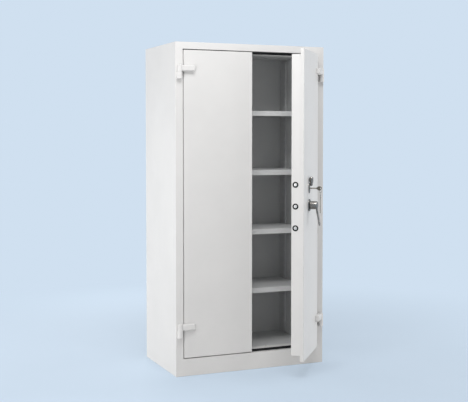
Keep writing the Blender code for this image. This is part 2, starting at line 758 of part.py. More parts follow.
def build_door(side_name, plate, block, fill_depth, carrier):
    """Outer skin, inner liner and the insulation between them."""
    neck = grown(block, -LINER_LIP)
    flange_y = FRONT + DOOR_PLATE
    lip_y = flange_y + SEAM
    inner_y = FRONT + DOOR_THICKNESS
    skin_inside = grown(plate, -SHEET)
    liner_inside = grown(block, -LINER_SHEET)
    skin = loft(
        [
            upright(plate, FRONT),
            upright(plate, flange_y),
            upright(neck, flange_y),
            upright(neck, flange_y - SHEET),
            upright(skin_inside, flange_y - SHEET),
            upright(skin_inside, FRONT + SHEET),
        ]
    )
    liner = loft(
        [
            upright(block, inner_y),
            upright(block, lip_y),
            upright(neck, lip_y),
            upright(neck, lip_y + LINER_SHEET),
            upright(liner_inside, lip_y + LINER_SHEET),
            upright(liner_inside, inner_y - LINER_SHEET),
        ]
    )
    fill_front = grown(skin_inside, -SEAM)
    fill_neck = grown(neck, -SEAM)
    fill_block = grown(liner_inside, -SEAM)
    fill = loft(
        [
            upright(fill_front, FRONT + SHEET + SEAM),
            upright(fill_front, flange_y - SHEET - SEAM),
            upright(fill_neck, flange_y - SHEET - SEAM),
            upright(fill_neck, lip_y + LINER_SHEET + SEAM),
            upright(fill_block, lip_y + LINER_SHEET + SEAM),
            upright(fill_block, FRONT + fill_depth),
        ]
    )
    skin = rounded_edges(skin, on_rim(plate, FRONT))
    liner = rounded_edges(liner, on_rim(block, inner_y))
    return (
        piece(f"{side_name}_door_skin", skin, PAINT, carrier),
        piece(f"{side_name}_door_liner", liner, PAINT, carrier),
        piece(f"{side_name}_door_insulation", fill, FILL, carrier),
    )


def bolt_heights():
    middle = HANDLE_HEIGHT
    return (
        ("upper", middle + BOLT_SPACING),
        ("middle", middle),
        ("lower", middle - BOLT_SPACING),
    )


def build_flush_bolt(name, x, way, end, liner, fill, carrier):
    """Sliding bolt with a knob, at the top (way 1) or the bottom (way -1) of the left door."""
    y = FRONT + FLUSH_DEPTH
    inner_y = FRONT + DOOR_THICKNESS
    tip = Vector((x, y, end - way * ROD_RECESS))
    slide = axis_at(f"{name}_slide", tip, carrier)
    rod = turned(
        tip,
        -way * ALONG_Z,
        (
            (0, FLUSH_RADIUS - BOLT_CHAMFER),
            (BOLT_CHAMFER, FLUSH_RADIUS),
            (FLUSH_LENGTH, FLUSH_RADIUS),
        ),
        SMALL_SIDES,
    )
    bolt = piece(name, rod, STEEL, slide)
    knob_z = end - way * KNOB_FROM_END
    knob_length = DOOR_THICKNESS - FLUSH_DEPTH + KNOB_REACH
    knob = turned(
        Vector((x, y, knob_z)),
        ALONG_Y,
        (
            (0, KNOB_RADIUS),
            (knob_length - BOLT_CHAMFER, KNOB_RADIUS),
            (knob_length, KNOB_RADIUS - BOLT_CHAMFER),
        ),
        SMALL_SIDES,
    )
    join(bolt, knob)

    hole_start = tip - way * DOOR_GAP * ALONG_Z
    hole = FLUSH_RADIUS + ROD_HOLE_CLEARANCE
    cut(liner, cylinder(hole_start, way * ALONG_Z, 2 * DOOR_GAP, hole, SMALL_SIDES))
    slot_side = KNOB_RADIUS + SLIDE_CLEARANCE
    slot = sorted((knob_z - way * slot_side, knob_z + way * (FLUSH_TRAVEL + slot_side)))
    cut(liner, box((x - slot_side, x + slot_side), (inner_y - 2 * LINER_SHEET, inner_y + SHEET), slot))
    half = CHANNEL_HALF_WIDTH
    channel = sorted((tip.z - way * (FLUSH_LENGTH + half), tip.z + way * half))
    cut(fill, box((x - half, x + half), (y - half, inner_y), channel))


def build_left_door():
    carrier = axis_at("left_door_axis", Vector((-PIVOT_X, PIVOT_Y, 0)))
    plate = Rect(-DOOR_EDGE, MEETING_X - MEETING_GAP / 2, DOOR_LOW, DOOR_HIGH)
    block = Rect(
        plate.left + BLOCK_SETBACK,
        plate.right + ASTRAGAL,
        plate.low + BLOCK_SETBACK,
        plate.high - BLOCK_SETBACK,
    )
    depth = DOOR_THICKNESS - LINER_SHEET - SEAM
    _, liner, fill = build_door("left", plate, block, depth, carrier)

    y = FRONT + BOLT_DEPTH
    radius = BOLT_RADIUS + STRIKE_CLEARANCE
    half = radius + STRIKE_MARGIN
    heights = [height for _, height in bolt_heights()]
    plate_x = (block.right + SEAM, block.right + SEAM + STRIKE_THICKNESS)
    strike = piece(
        "strike_plate",
        box(
            plate_x,
            (y - half, y + half),
            (min(heights) - radius - STRIKE_END, max(heights) + radius + STRIKE_END),
        ),
        STEEL,
        carrier,
    )
    pocket_end = BOLT_FACE_X - BOLT_TRAVEL - STRIKE_POCKET
    start_x = plate_x[1] + SHEET
    for target, hole in ((strike, radius), (liner, radius), (fill, radius + SEAM)):
        starts = [Vector((start_x, y, height)) for height in heights]
        holes = [cylinder(start, -ALONG_X, start_x - pocket_end, hole) for start in starts]
        cut(target, together(holes))

    flush_x = plate.right - FLUSH_FROM_EDGE
    build_flush_bolt("left_top_bolt", flush_x, 1, block.high, liner, fill, carrier)
    build_flush_bolt("left_bottom_bolt", flush_x, -1, block.low, liner, fill, carrier)
    return carrier


def build_handle(skin, fill, carrier):
    """Rose, lever handle, spindle and the crank that drives the bolts and rods."""
    out = -ALONG_Y
    face = Vector((HANDLE_X, FRONT, HANDLE_HEIGHT))
    bore = SPINDLE_RADIUS + SEAM
    rose = turned(
        face + SEAM * out,
        out,
        (
            (0, bore),
            (0, ROSE_RADIUS),
            (ROSE_THICKNESS - ROSE_CHAMFER, ROSE_RADIUS),
            (ROSE_THICKNESS, ROSE_RADIUS - ROSE_CHAMFER),
            (ROSE_THICKNESS, bore),
        ),
        ring=True,
    )
    piece("handle_rose", rose, CHROME, carrier)
    for target, extra in ((skin, 2 * SEAM), (fill, SHEET)):
        start = face + SHEET * out
        cut(target, cylinder(start, ALONG_Y, RIGHT_FILL + 2 * SHEET, SPINDLE_RADIUS + extra))

    turn = axis_at("handle_axis", face, carrier)
    hub_start = ROSE_THICKNESS + 2 * SEAM
    halfway = HUB_ROUND * (1 - math.cos(math.pi / 4))
    hub = turned(
        face,
        out,
        (
            (hub_start, HUB_RADIUS),
            (HUB_LENGTH - HUB_ROUND, HUB_RADIUS),
            (HUB_LENGTH - halfway, HUB_RADIUS - halfway),
            (HUB_LENGTH, HUB_RADIUS - HUB_ROUND),
        ),
    )
    handle = piece("handle", hub, CHROME, turn)
    lever = []
    for height, width, thickness, past in LEVER_SECTIONS:
        middle = face + (HUB_LENGTH + past) * out + height * ALONG_Z
        lever.append(rounded_rectangle(middle, width, thickness))
    join(handle, loft(lever))
    cut(handle, cylinder(face, out, SPINDLE_IN_HUB + SEAM, bore))

    spindle_start = face + SPINDLE_IN_HUB * out
    spindle_length = SPINDLE_IN_HUB + CRANK_BACK
    spindle = cylinder(spindle_start, ALONG_Y, spindle_length, SPINDLE_RADIUS)
    piece("handle_spindle", spindle, STEEL, turn)

    crank = turned(
        face,
        ALONG_Y,
        (
            (RIGHT_FILL + LAYER_GAP, bore),
            (RIGHT_FILL + LAYER_GAP, bore + CRANK_HUB_WALL),
            (CRANK_FRONT, bore + CRANK_HUB_WALL),
            (CRANK_FRONT, CRANK_RADIUS),
            (CRANK_BACK, CRANK_RADIUS),
            (CRANK_BACK, bore),
        ),
        CRANK_SIDES,
        ring=True,
    )
    disc = piece("drive_crank", crank, STEEL, turn)
    half = HANDLE_TURN / 2
    pins = (
        (math.pi / 2 - half, BOLT_PIN_THROW, BOLT_PIN_RADIUS, TONGUE_BACK),
        (-half, ROD_PIN_THROW, ROD_PIN_RADIUS, ROD_BACK),
        (math.pi - half, ROD_PIN_THROW, ROD_PIN_RADIUS, ROD_BACK),
    )
    root = (CRANK_FRONT + CRANK_BACK) / 2
    pin_meshes = []
    for angle, throw, radius, slot_back in pins:
        start = face + throw * Vector((math.cos(angle), 0, math.sin(angle))) + root * ALONG_Y
        length = slot_back + PIN_PAST_SLOT - root
        pin_meshes.append(cylinder(start, ALONG_Y, length, radius, SMALL_SIDES))
    join(disc, together(pin_meshes))


def linear_error(throw):
    """How far a pin strays from even travel, to be left free in its slot."""
    half = HANDLE_TURN / 2
    worst = 0
    steps = 10
    for step in range(steps):
        angle = half * step / steps
        worst = max(worst, throw * (math.sin(angle) - math.sin(half) * angle / half))
    return worst


def build_bolts(liner, carrier):
    """Three round bolts in bushes, on one bar that the crank moves sideways."""
    y = FRONT + BOLT_DEPTH
    slide = axis_at("bolt_slide", Vector((BOLT_FACE_X, y, HANDLE_HEIGHT)), carrier)

    bar_low = HANDLE_HEIGHT - BOLT_SPACING - BAR_END
    bar_high = HANDLE_HEIGHT + BOLT_SPACING + BAR_END
    bar_y = (y - BOLT_RADIUS - BAR_MARGIN, FRONT + TONGUE_BACK + BAR_MARGIN)
    bar = piece(
        "bolt_bar", box((BAR_X, BAR_X + BAR_THICKNESS), bar_y, (bar_low, bar_high)), STEEL, slide
    )
    slot_x = HANDLE_X + BOLT_TRAVEL / 2
    reach = BOLT_PIN_RADIUS + SLIDE_CLEARANCE
    slot_side = reach + linear_error(BOLT_PIN_THROW)
    slot_low = HANDLE_HEIGHT + BOLT_PIN_THROW * math.cos(HANDLE_TURN / 2) - reach
    slot_high = HANDLE_HEIGHT + BOLT_PIN_THROW + reach
    tongue_y = (FRONT + TONGUE_FRONT, FRONT + TONGUE_BACK)
    tongue_high = slot_high + TONGUE_WALL
    tongue_x = (BAR_X + BAR_MARGIN, slot_x + slot_side + TONGUE_WALL)
    join(bar, box(tongue_x, tongue_y, (slot_low - TONGUE_WALL, tongue_high)))
    lug_x = HANDLE_X + LOCK_BOLT_RIGHT + LUG_CLEARANCE
    lug_y = (FRONT + LOCK_BOLT_FRONT - LAYER_GAP, FRONT + TONGUE_BACK - PIN_PAST_SLOT)
    lug_z = (tongue_high - LUG_ROOT, CASE_LOW - LUG_BELOW_CASE)
    join(bar, box((lug_x, lug_x + LUG_WIDTH), lug_y, lug_z))
    through = (tongue_y[0] - SHEET, tongue_y[1] + SHEET)
    cut(bar, box((slot_x - slot_side, slot_x + slot_side), through, (slot_low, slot_high)))

    spigot = BOLT_SPIGOT_RADIUS
    bore = BOLT_RADIUS + SEAM
    spigot_length = SHEET + BOLT_SPIGOT + 2 * SEAM
    spigot_holes = []
    bush_holes = []
    for name, height in bolt_heights():
        start = Vector((BOLT_FACE_X, y, height))
        tail = start + (BOLT_LENGTH - SHEET) * ALONG_X
        spigot_holes.append(cylinder(tail, ALONG_X, spigot_length, spigot + SEAM))
        bush_holes.append(cylinder(start, ALONG_X, BUSH_LENGTH, BUSH_RADIUS + SEAM))
        bolt = turned(
            start,
            ALONG_X,
            (
                (0, BOLT_RADIUS - BOLT_CHAMFER),
                (BOLT_CHAMFER, BOLT_RADIUS),
                (BOLT_LENGTH, BOLT_RADIUS),
                (BOLT_LENGTH, spigot),
                (BOLT_LENGTH + BOLT_SPIGOT, spigot),
            ),
        )
        piece(f"bolt_{name}", bolt, STEEL, slide)
        bush = turned(
            start,
            ALONG_X,
            (
                (0, bore),
                (0, BUSH_RADIUS + BUSH_RIM),
                (BUSH_FLANGE, BUSH_RADIUS + BUSH_RIM),
                (BUSH_FLANGE, BUSH_RADIUS),
                (BUSH_LENGTH, BUSH_RADIUS),
                (BUSH_LENGTH, bore),
            ),
            ring=True,
        )
        piece(f"bolt_bush_{name}", bush, DARK, carrier)
    cut(bar, together(spigot_holes))
    cut(liner, together(bush_holes))


def build_rod(name, way, end, liner, carrier):
    """Flat rod from the crank to the top (way 1) or the bottom (way -1) of the right door."""
    side = way  # the upper rod runs on the hinge side of the crank, the lower rod on the other
    pin_z = HANDLE_HEIGHT - way * ROD_TRAVEL / 2
    near = HANDLE_X + side * ROD_NEAR
    far = near + side * ROD_WIDTH
    middle = HANDLE_X + side * ROD_SIDE
    reach = ROD_PIN_RADIUS + SLIDE_CLEARANCE
    slot_half = reach + linear_error(ROD_PIN_THROW)
    slot_inner = HANDLE_X + side * (ROD_PIN_THROW * math.cos(HANDLE_TURN / 2) - reach)
    slot_outer = HANDLE_X + side * (ROD_PIN_THROW + reach)
    inner = slot_inner - side * YOKE_WALL
    half = slot_half + YOKE_WALL
    tip = Vector((middle, FRONT + ROD_MIDDLE, end - way * ROD_RECESS))
    slide = axis_at(f"{name}_slide", tip, carrier)
    flat_end = tip.z - way * ROD_FLAT_LENGTH
    outline = (
        (inner, pin_z - way * half),
        (far, pin_z - way * half),
        (far, flat_end),
        (near, flat_end),
        (near, pin_z + way * half),
        (inner, pin_z + way * half),
    )
    faces = (FRONT + ROD_FRONT, FRONT + ROD_BACK)
    rod = piece(name, loft([[Vector((x, y, z)) for x, z in outline] for y in faces]), STEEL, slide)
    round_end = turned(
        tip,
        -way * ALONG_Z,
        (
            (0, ROD_END_RADIUS - BOLT_CHAMFER),
            (BOLT_CHAMFER, ROD_END_RADIUS),
            (ROD_END_LENGTH, ROD_END_RADIUS),
        ),
        SMALL_SIDES,
    )
    join(rod, round_end)
    through = (faces[0] - SHEET, faces[1] + SHEET)
    slot_x = sorted((slot_inner, slot_outer))
    cut(rod, box(slot_x, through, (pin_z - slot_half, pin_z + slot_half)))
    hole_start = tip - way * DOOR_GAP * ALONG_Z
    hole = ROD_END_RADIUS + ROD_HOLE_CLEARANCE
    cut(liner, cylinder(hole_start, way * ALONG_Z, 2 * DOOR_GAP, hole, SMALL_SIDES))


def build_lock(skin, fill, carrier):
    """Lock case with its bolt, the key, and the keyhole plate with its swinging cover."""
    out = -ALONG_Y
    face = Vector((HANDLE_X, FRONT, KEY_HEIGHT))
    bolt_right = HANDLE_X + LOCK_BOLT_RIGHT
    bolt_x = (bolt_right - LOCK_BOLT_WIDTH, bolt_right)
    bolt_y = (FRONT + LOCK_BOLT_FRONT, FRONT + LOCK_BOLT_BACK)
    case = piece(
        "lock_case",
        box(
            (bolt_x[0] - CASE_WALL, HANDLE_X + CASE_RIGHT),
            (FRONT + RIGHT_FILL + SEAM, FRONT + CASE_BACK),
            (CASE_LOW, KEY_HEIGHT + CASE_ABOVE),
        ),
        STEEL,
        carrier,
    )
    chamber_start = face + (RIGHT_FILL - SHEET) * ALONG_Y
    chamber_radius = BIT_HALF_HEIGHT + BIT_CLEARANCE
    chamber_length = CHAMBER_BACK - RIGHT_FILL + SHEET
    cut(case, cylinder(chamber_start, ALONG_Y, chamber_length, chamber_radius))
    cut(
        case,
        box(
            (bolt_x[0] - SEAM, bolt_x[1] + SEAM),
            (bolt_y[0] - SEAM, bolt_y[1] + SEAM),
            (CASE_LOW - SHEET, CASE_LOW + LOCK_BOLT_LENGTH + SEAM),
        ),
    )
    slide = axis_at("lock_bolt_slide", Vector((bolt_right, bolt_y[1], CASE_LOW)), carrier)
    lock_bolt = box(bolt_x, bolt_y, (CASE_LOW, CASE_LOW + LOCK_BOLT_LENGTH))
    piece("lock_bolt", lock_bolt, STEEL, slide)

    for target in (skin, fill):
        start = face + SHEET * out
        cut(target, cylinder(start, ALONG_Y, RIGHT_FILL + 2 * SHEET, KEY_TUBE_RADIUS))

    plate_start = face + SEAM * out
    plate_loops = []
    chamfer_start = PLATE_THICKNESS - PLATE_CHAMFER
    for far, inset in ((0, 0), (chamfer_start, 0), (PLATE_THICKNESS, PLATE_CHAMFER)):
        loop = []
        for point in circle(Vector((0, 0, 0)), ALONG_Y, 1, ROUND_SIDES):
            x = point.x * (PLATE_HALF_WIDTH - inset)
            z = point.z * (PLATE_HALF_HEIGHT - inset)
            loop.append(plate_start + far * out + Vector((x, 0, z)))
        plate_loops.append(loop)
    plate = piece("keyhole_plate", loft(plate_loops), CHROME, carrier)
    pivot = face + COVER_PIVOT * ALONG_Z
    stud_hole = STUD_RADIUS + SEAM
    far_centre = COVER_LENGTH - COVER_RADIUS
    lean = math.asin((COVER_RADIUS - COVER_NECK_RADIUS) / far_centre)
    half_neck = COVER_NECK_RADIUS / math.cos(lean) + STUD_HEAD_RADIUS * math.tan(lean)
    collar_end = COVER_AXIS - half_neck - SEAM
    stud_top = COVER_AXIS + half_neck + SEAM
    stud = turned(
        pivot,
        out,
        (
            (PLATE_THICKNESS / 2, STUD_COLLAR_RADIUS),
            (collar_end, STUD_COLLAR_RADIUS),
            (collar_end, STUD_RADIUS),
            (stud_top, STUD_RADIUS),
            (stud_top, STUD_HEAD_RADIUS),
            (stud_top + STUD_HEAD, STUD_CROWN_RADIUS),
        ),
        SMALL_SIDES,
    )
    join(plate, stud)
    key_bore = KEY_RADIUS + KEY_CLEARANCE
    cut(plate, cylinder(face - SHEET * out, out, PLATE_THICKNESS + 2 * SHEET, key_bore))
    slit_half = BIT_THICKNESS / 2 + KEY_CLEARANCE
    slit_height = BIT_HALF_HEIGHT + KEY_CLEARANCE
    cut(
        plate,
        box(
            (HANDLE_X - slit_half, HANDLE_X + slit_half),
            (FRONT - PLATE_THICKNESS - SHEET, FRONT + SHEET),
            (KEY_HEIGHT - slit_height, KEY_HEIGHT + slit_height),
        ),
    )

    swing = axis_at("keyhole_cover_axis", pivot, carrier)
    profile = []
    steps = SMALL_SIDES // 2
    for step in range(1, steps + 1):
        angle = (math.pi / 2 - lean) * step / steps - math.pi / 2
        profile.append((COVER_NECK_RADIUS * math.sin(angle), COVER_NECK_RADIUS * math.cos(angle)))
    for step in range(steps):
        angle = (math.pi / 2 + lean) * step / steps - lean
        profile.append((far_centre + COVER_RADIUS * math.sin(angle), COVER_RADIUS * math.cos(angle)))
    drop = turned(pivot + COVER_AXIS * out, ALONG_Z, profile)
    cover = piece("keyhole_cover", drop, CHROME, swing)
    cut(cover, cylinder(pivot, out, 2 * COVER_AXIS, stud_hole, SMALL_SIDES))

    turn = axis_at("key_axis", face, carrier)
    shaft_start = face + KEY_END * ALONG_Y
    shaft_length = KEY_END + KEY_REACH - BOW_LENGTH + SHAFT_IN_BOW
    key = piece("key", cylinder(shaft_start, out, shaft_length, KEY_RADIUS, SMALL_SIDES), STEEL, turn)
    bow_middle = face + (KEY_REACH - BOW_LENGTH / 2) * out
    bow_loops = []
    for x in (-BOW_THICKNESS / 2, BOW_THICKNESS / 2):
        loop = []
        for point in circle(Vector((0, 0, 0)), ALONG_X, 1, SMALL_SIDES):
            wide = point.y * BOW_LENGTH / 2
            loop.append(bow_middle + Vector((x, wide, point.z * BOW_HALF_HEIGHT)))
        bow_loops.append(loop)
    join(key, loft(bow_loops))
    hole_start = face + (KEY_REACH - BOW_HOLE_FROM_END) * out - BOW_THICKNESS * ALONG_X
    cut(key, cylinder(hole_start, ALONG_X, 2 * BOW_THICKNESS, BOW_HOLE_RADIUS, SMALL_SIDES))
    bit_end = FRONT + KEY_END - SEAM
    join(
        key,
        box(
            (HANDLE_X - BIT_THICKNESS / 2, HANDLE_X + BIT_THICKNESS / 2),
            (bit_end - BIT_LENGTH, bit_end),
            (KEY_HEIGHT - BIT_HALF_HEIGHT, KEY_HEIGHT + BIT_HALF_HEIGHT),
        ),
    )


def build_right_door():
    carrier = axis_at("right_door_axis", Vector((PIVOT_X, PIVOT_Y, 0)))
    plate = Rect(MEETING_X + MEETING_GAP / 2, DOOR_EDGE, DOOR_LOW, DOOR_HIGH)
    block = Rect(
        plate.left + MEETING_SETBACK,
        plate.right - BLOCK_SETBACK,
        plate.low + BLOCK_SETBACK,
        plate.high - BLOCK_SETBACK,
    )
    skin, liner, fill = build_door("right", plate, block, RIGHT_FILL, carrier)
    build_handle(skin, fill, carrier)
    build_bolts(liner, carrier)
    build_rod("top_rod", 1, block.high, liner, carrier)
    build_rod("bottom_rod", -1, block.low, liner, carrier)
    build_lock(skin, fill, carrier)
    return carrier


def build_cabinet():
    clear_scene()
    build_body()
    build_interior()
    left = build_left_door()
    right = build_right_door()
    for side_name, side, carrier in (("left", -1, left), ("right", 1, right)):
        build_hinge(f"lower_{side_name}", side, DOOR_LOW + LOWER_HINGE, carrier)
        build_hinge(f"upper_{side_name}", side, DOOR_HIGH - UPPER_HINGE, carrier)
    right.rotation_euler.z = OPEN_ANGLE


build_cabinet()
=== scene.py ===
"""Looks of the fire-resistant file cabinet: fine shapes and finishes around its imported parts.

Lengths are in metres, +Z is up and the front faces -Y. Every piece is shaped where the part stands at
rest, with its right door ajar, and rides on the body that carries it.
"""

import json
import math

import bmesh
import bpy
from mathutils import Matrix, Vector


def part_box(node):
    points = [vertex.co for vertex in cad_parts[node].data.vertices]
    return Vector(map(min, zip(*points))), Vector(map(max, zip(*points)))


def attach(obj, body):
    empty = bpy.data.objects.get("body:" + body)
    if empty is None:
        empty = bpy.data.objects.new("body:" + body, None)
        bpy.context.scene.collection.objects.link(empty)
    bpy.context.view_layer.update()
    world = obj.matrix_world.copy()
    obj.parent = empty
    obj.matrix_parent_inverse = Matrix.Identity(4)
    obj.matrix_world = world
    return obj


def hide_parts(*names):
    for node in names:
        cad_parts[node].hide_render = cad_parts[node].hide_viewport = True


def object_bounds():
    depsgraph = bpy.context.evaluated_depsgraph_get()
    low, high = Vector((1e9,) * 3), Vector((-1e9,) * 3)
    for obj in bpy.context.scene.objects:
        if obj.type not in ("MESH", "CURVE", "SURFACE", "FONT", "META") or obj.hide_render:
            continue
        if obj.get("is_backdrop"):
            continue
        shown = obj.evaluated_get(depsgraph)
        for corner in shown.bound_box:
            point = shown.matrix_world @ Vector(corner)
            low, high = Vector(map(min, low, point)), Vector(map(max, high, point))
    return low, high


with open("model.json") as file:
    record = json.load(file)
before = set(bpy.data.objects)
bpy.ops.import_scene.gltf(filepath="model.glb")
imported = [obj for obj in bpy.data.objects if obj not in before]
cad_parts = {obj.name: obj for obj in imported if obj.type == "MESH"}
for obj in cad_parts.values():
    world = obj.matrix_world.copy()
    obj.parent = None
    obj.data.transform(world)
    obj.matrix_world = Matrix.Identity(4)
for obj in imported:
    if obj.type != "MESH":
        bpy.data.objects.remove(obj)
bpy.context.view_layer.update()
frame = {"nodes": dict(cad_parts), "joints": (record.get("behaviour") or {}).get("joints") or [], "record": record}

MM = 0.001
ROUND = 72  # sides of turned pieces
SMALL_ROUND = 40  # and of small ones
BAR_SIDES = 48  # and of thin bars
GAP = 0.3 * MM  # between pieces that fit together
MERGED = 0.02 * MM  # points closer together than this become one
FLAT = math.radians(0.5)  # faces closer to one plane than this become one face
CREASE = math.radians(34)  # edges sharper than this are eased
EDGE_STEPS = 3  # facets across an eased edge

nodes = frame["nodes"]
record = frame["record"]
joints = {joint["name"]: joint for joint in frame["joints"]}
slot_of = {row["node"]: row["material_slot"] for row in record["subparts"]}
body_of = {}
for body, members in record["behaviour"]["bodies"].items():
    for member in members:
        body_of[member] = body


def place_at(origin, right, inward):
    """Matrix of a place whose X, Y and Z point right, inwards and up."""
    turn = Matrix((right, inward, right.cross(inward))).transposed().to_4x4()
    return Matrix.Translation(origin) @ turn


def joint_point(name):
    return Vector(joints[name]["pos_m"])


def joint_axis(name):
    return Vector(joints[name]["axis"]).normalized()


# The right door's own directions, with the handle's axis as its origin on the outer face
RIGHT_DOOR = place_at(joint_point("handle_turn"), -joint_axis("bolt_throw"), -joint_axis("handle_turn"))
FACING_OUT = Matrix.Rotation(math.pi / 2, 4, "X")  # drawn upwards, comes out of the door
FACING_BACK = Matrix.Rotation(-math.pi / 2, 4, "X")  # drawn upwards, points to the back
FACING_EDGE = Matrix.Rotation(-math.pi / 2, 4, "Y")  # drawn upwards, points to the lock edge
SIDEWAYS = Matrix(((0, 0, -1, 0), (-1, 0, 0, 0), (0, 1, 0, 0), (0, 0, 0, 1)))  # drawn flat, stands out


def shifted(x=0.0, y=0.0, z=0.0):
    return Matrix.Translation((x, y, z))


def extent(name, place):
    """Lowest and highest corner of a part, in the directions of a place."""
    back = place.inverted()
    points = [back @ vertex.co for vertex in nodes[name].data.vertices]
    low = Vector([min(point[axis] for point in points) for axis in range(3)])
    high = Vector([max(point[axis] for point in points) for axis in range(3)])
    return low, high


# Finishes


def add_node(tree, kind, inputs=None, **settings):
    made = tree.nodes.new("ShaderNode" + kind)
    for name, value in settings.items():
        setattr(made, name, value)
    for name, value in (inputs or {}).items():
        if isinstance(value, bpy.types.NodeSocket):
            tree.links.new(value, made.inputs[name])
        else:
            made.inputs[name].default_value = value
    return made


def noise(tree, where, scale, detail=2.0, roughness=0.5):
    settings = {"Vector": where, "Scale": scale, "Detail": detail, "Roughness": roughness}
    return add_node(tree, "TexNoise", settings).outputs["Fac"]


def stretched(tree, where, scale):
    """Coordinates pulled out by different amounts along the three axes."""
    return add_node(tree, "Mapping", {"Vector": where, "Scale": scale}).outputs["Vector"]


def between(tree, value, low, high, start=0.3, stop=0.7):
    inputs = {"Value": value, "From Min": start, "From Max": stop, "To Min": low, "To Max": high}
    return add_node(tree, "MapRange", inputs).outputs["Result"]


def tones(tree, value, *stops):
    ramp = add_node(tree, "ValToRGB", {"Fac": value})
    elements = ramp.color_ramp.elements
    while len(elements) < len(stops):
        elements.new(0.5)
    for element, (at, colour) in zip(elements, stops):
        element.position = at
        element.color = (*colour, 1)
    return ramp.outputs["Color"]


def bumps(tree, *layers):
    """Normal shaped by layers of (height, strength, distance)."""
    normal = None
    for height, strength, distance in layers:
        inputs = {"Height": height, "Strength": strength, "Distance": distance}
        if normal is not None:
            inputs["Normal"] = normal
        normal = add_node(tree, "Bump", inputs).outputs["Normal"]
    return normal


def new_finish(name):
    """Material with its tree, its surface shader and object coordinates."""
    material = bpy.data.materials.new(name)
    material.use_nodes = True
    tree = material.node_tree
    where = add_node(tree, "TexCoord").outputs["Object"]
    return material, tree, tree.nodes["Principled BSDF"], where


PAINT_GLOSS = 0.30
WIPED = (5.0, 5.0, 1.6)  # pulls the marks of wiping out into upright streaks


def painted(name, pale, deep, rough):
    """Sprayed enamel on sheet steel: faint clouding, a fine orange peel and slightly wavy sheet."""
    material, tree, shader, where = new_finish(name)
    clouds = noise(tree, where, scale=3.1, detail=4, roughness=0.6)
    tree.links.new(tones(tree, clouds, (0.36, deep), (0.64, pale)), shader.inputs["Base Color"])
    wiped = noise(tree, stretched(tree, where, WIPED), scale=2.6, detail=5, roughness=0.65)
    tree.links.new(between(tree, wiped, rough - 0.05, rough + 0.07), shader.inputs["Roughness"])
    wave = noise(tree, where, scale=2.4, detail=1)
    peel = noise(tree, where, scale=420, detail=2, roughness=0.55)
    grain = noise(tree, where, scale=1500, detail=1)
    normal = bumps(tree, (wave, 0.12, 4 * MM), (peel, 0.10, 0.25 * MM), (grain, 0.05, 0.08 * MM))
    tree.links.new(normal, shader.inputs["Normal"])
    shader.inputs["Specular IOR Level"].default_value = PAINT_GLOSS
    return material


def metal(name, pale, deep, rough, brush, edge=1.0):
    """Metal with fine lines along one axis and faint smears. An edge under 1 darkens grazing faces."""
    material, tree, shader, where = new_finish(name)
    shader.inputs["Metallic"].default_value = 1.0
    shader.inputs["Specular Tint"].default_value = (edge, edge, edge, 1)
    smears = noise(tree, where, scale=60, detail=4, roughness=0.6)
    tree.links.new(tones(tree, smears, (0.35, deep), (0.65, pale)), shader.inputs["Base Color"])
    lines = noise(tree, stretched(tree, where, brush), scale=1.0, detail=3, roughness=0.6)
    spread = add_node(tree, "Math", {0: smears, 1: lines}, operation="ADD").outputs["Value"]
    uneven = between(tree, spread, rough * 0.75, rough * 1.35, start=0.7, stop=1.3)
    tree.links.new(uneven, shader.inputs["Roughness"])
    tree.links.new(bumps(tree, (lines, 0.06, 0.05 * MM)), shader.inputs["Normal"])
    return material


def rubbery(name, pale, deep, rough, grain_scale, gloss):
    """Matt black rubber or plastic with a fine grain and dusty patches."""
    material, tree, shader, where = new_finish(name)
    dust = noise(tree, where, scale=22, detail=5, roughness=0.65)
    tree.links.new(tones(tree, dust, (0.40, deep), (0.70, pale)), shader.inputs["Base Color"])
    tree.links.new(between(tree, dust, rough - 0.08, rough + 0.1), shader.inputs["Roughness"])
    grain = noise(tree, where, scale=grain_scale, detail=2)
    tree.links.new(bumps(tree, (grain, 0.25, 0.15 * MM)), shader.inputs["Normal"])
    shader.inputs["Specular IOR Level"].default_value = gloss
    return material


def fibrous(name, pale, deep):
    """Pressed mineral board: pitted, clouded and chalky."""
    material, tree, shader, where = new_finish(name)
    clouds = noise(tree, where, scale=18, detail=6, roughness=0.7)
    tree.links.new(tones(tree, clouds, (0.3, deep), (0.7, pale)), shader.inputs["Base Color"])
    shader.inputs["Roughness"].default_value = 0.92
    pits = noise(tree, where, scale=160, detail=5, roughness=0.7)
    tree.links.new(bumps(tree, (pits, 0.6, 1.2 * MM)), shader.inputs["Normal"])
    return material


CHROME_LINES = (40, 40, 900)
STEEL_LINES = (60, 60, 1200)
CHROME_EDGE = 0.6

finishes = {
    "paint": painted("light_grey_enamel", (0.826, 0.817, 0.806), (0.798, 0.790, 0.780), 0.40),
    "inner_paint": painted("inner_grey_enamel", (0.715, 0.722, 0.722), (0.685, 0.692, 0.694), 0.46),
    # The chrome's pale and deep tones are set far darker than real chrome: a painted dark reflection of dark
    # surroundings.
    "chrome": metal(
        "chrome_with_painted_dark_reflection", (0.240, 0.224, 0.207), (0.208, 0.194, 0.180), 0.22, CHROME_LINES, CHROME_EDGE
    ),
    "steel": metal("bright_steel", (0.60, 0.577, 0.545), (0.48, 0.461, 0.434), 0.30, STEEL_LINES),
    "key_steel": metal("dull_key_steel", (0.42, 0.385, 0.335), (0.30, 0.272, 0.235), 0.28, STEEL_LINES),
    "key_bow": metal("dark_key_bow", (0.15, 0.130, 0.105), (0.09, 0.078, 0.062), 0.34, STEEL_LINES),
    "dark_bush": rubbery("dark_bush", (0.008, 0.008, 0.008), (0.003, 0.003, 0.003), 0.62, 900, 0.08),
    "seal": rubbery("black_rubber", (0.022, 0.023, 0.025), (0.010, 0.010, 0.011), 0.66, 700, 0.22),
    "insulation": fibrous("mineral_fill", (0.74, 0.71, 0.65), (0.60, 0.57, 0.50)),
}


# Shapes


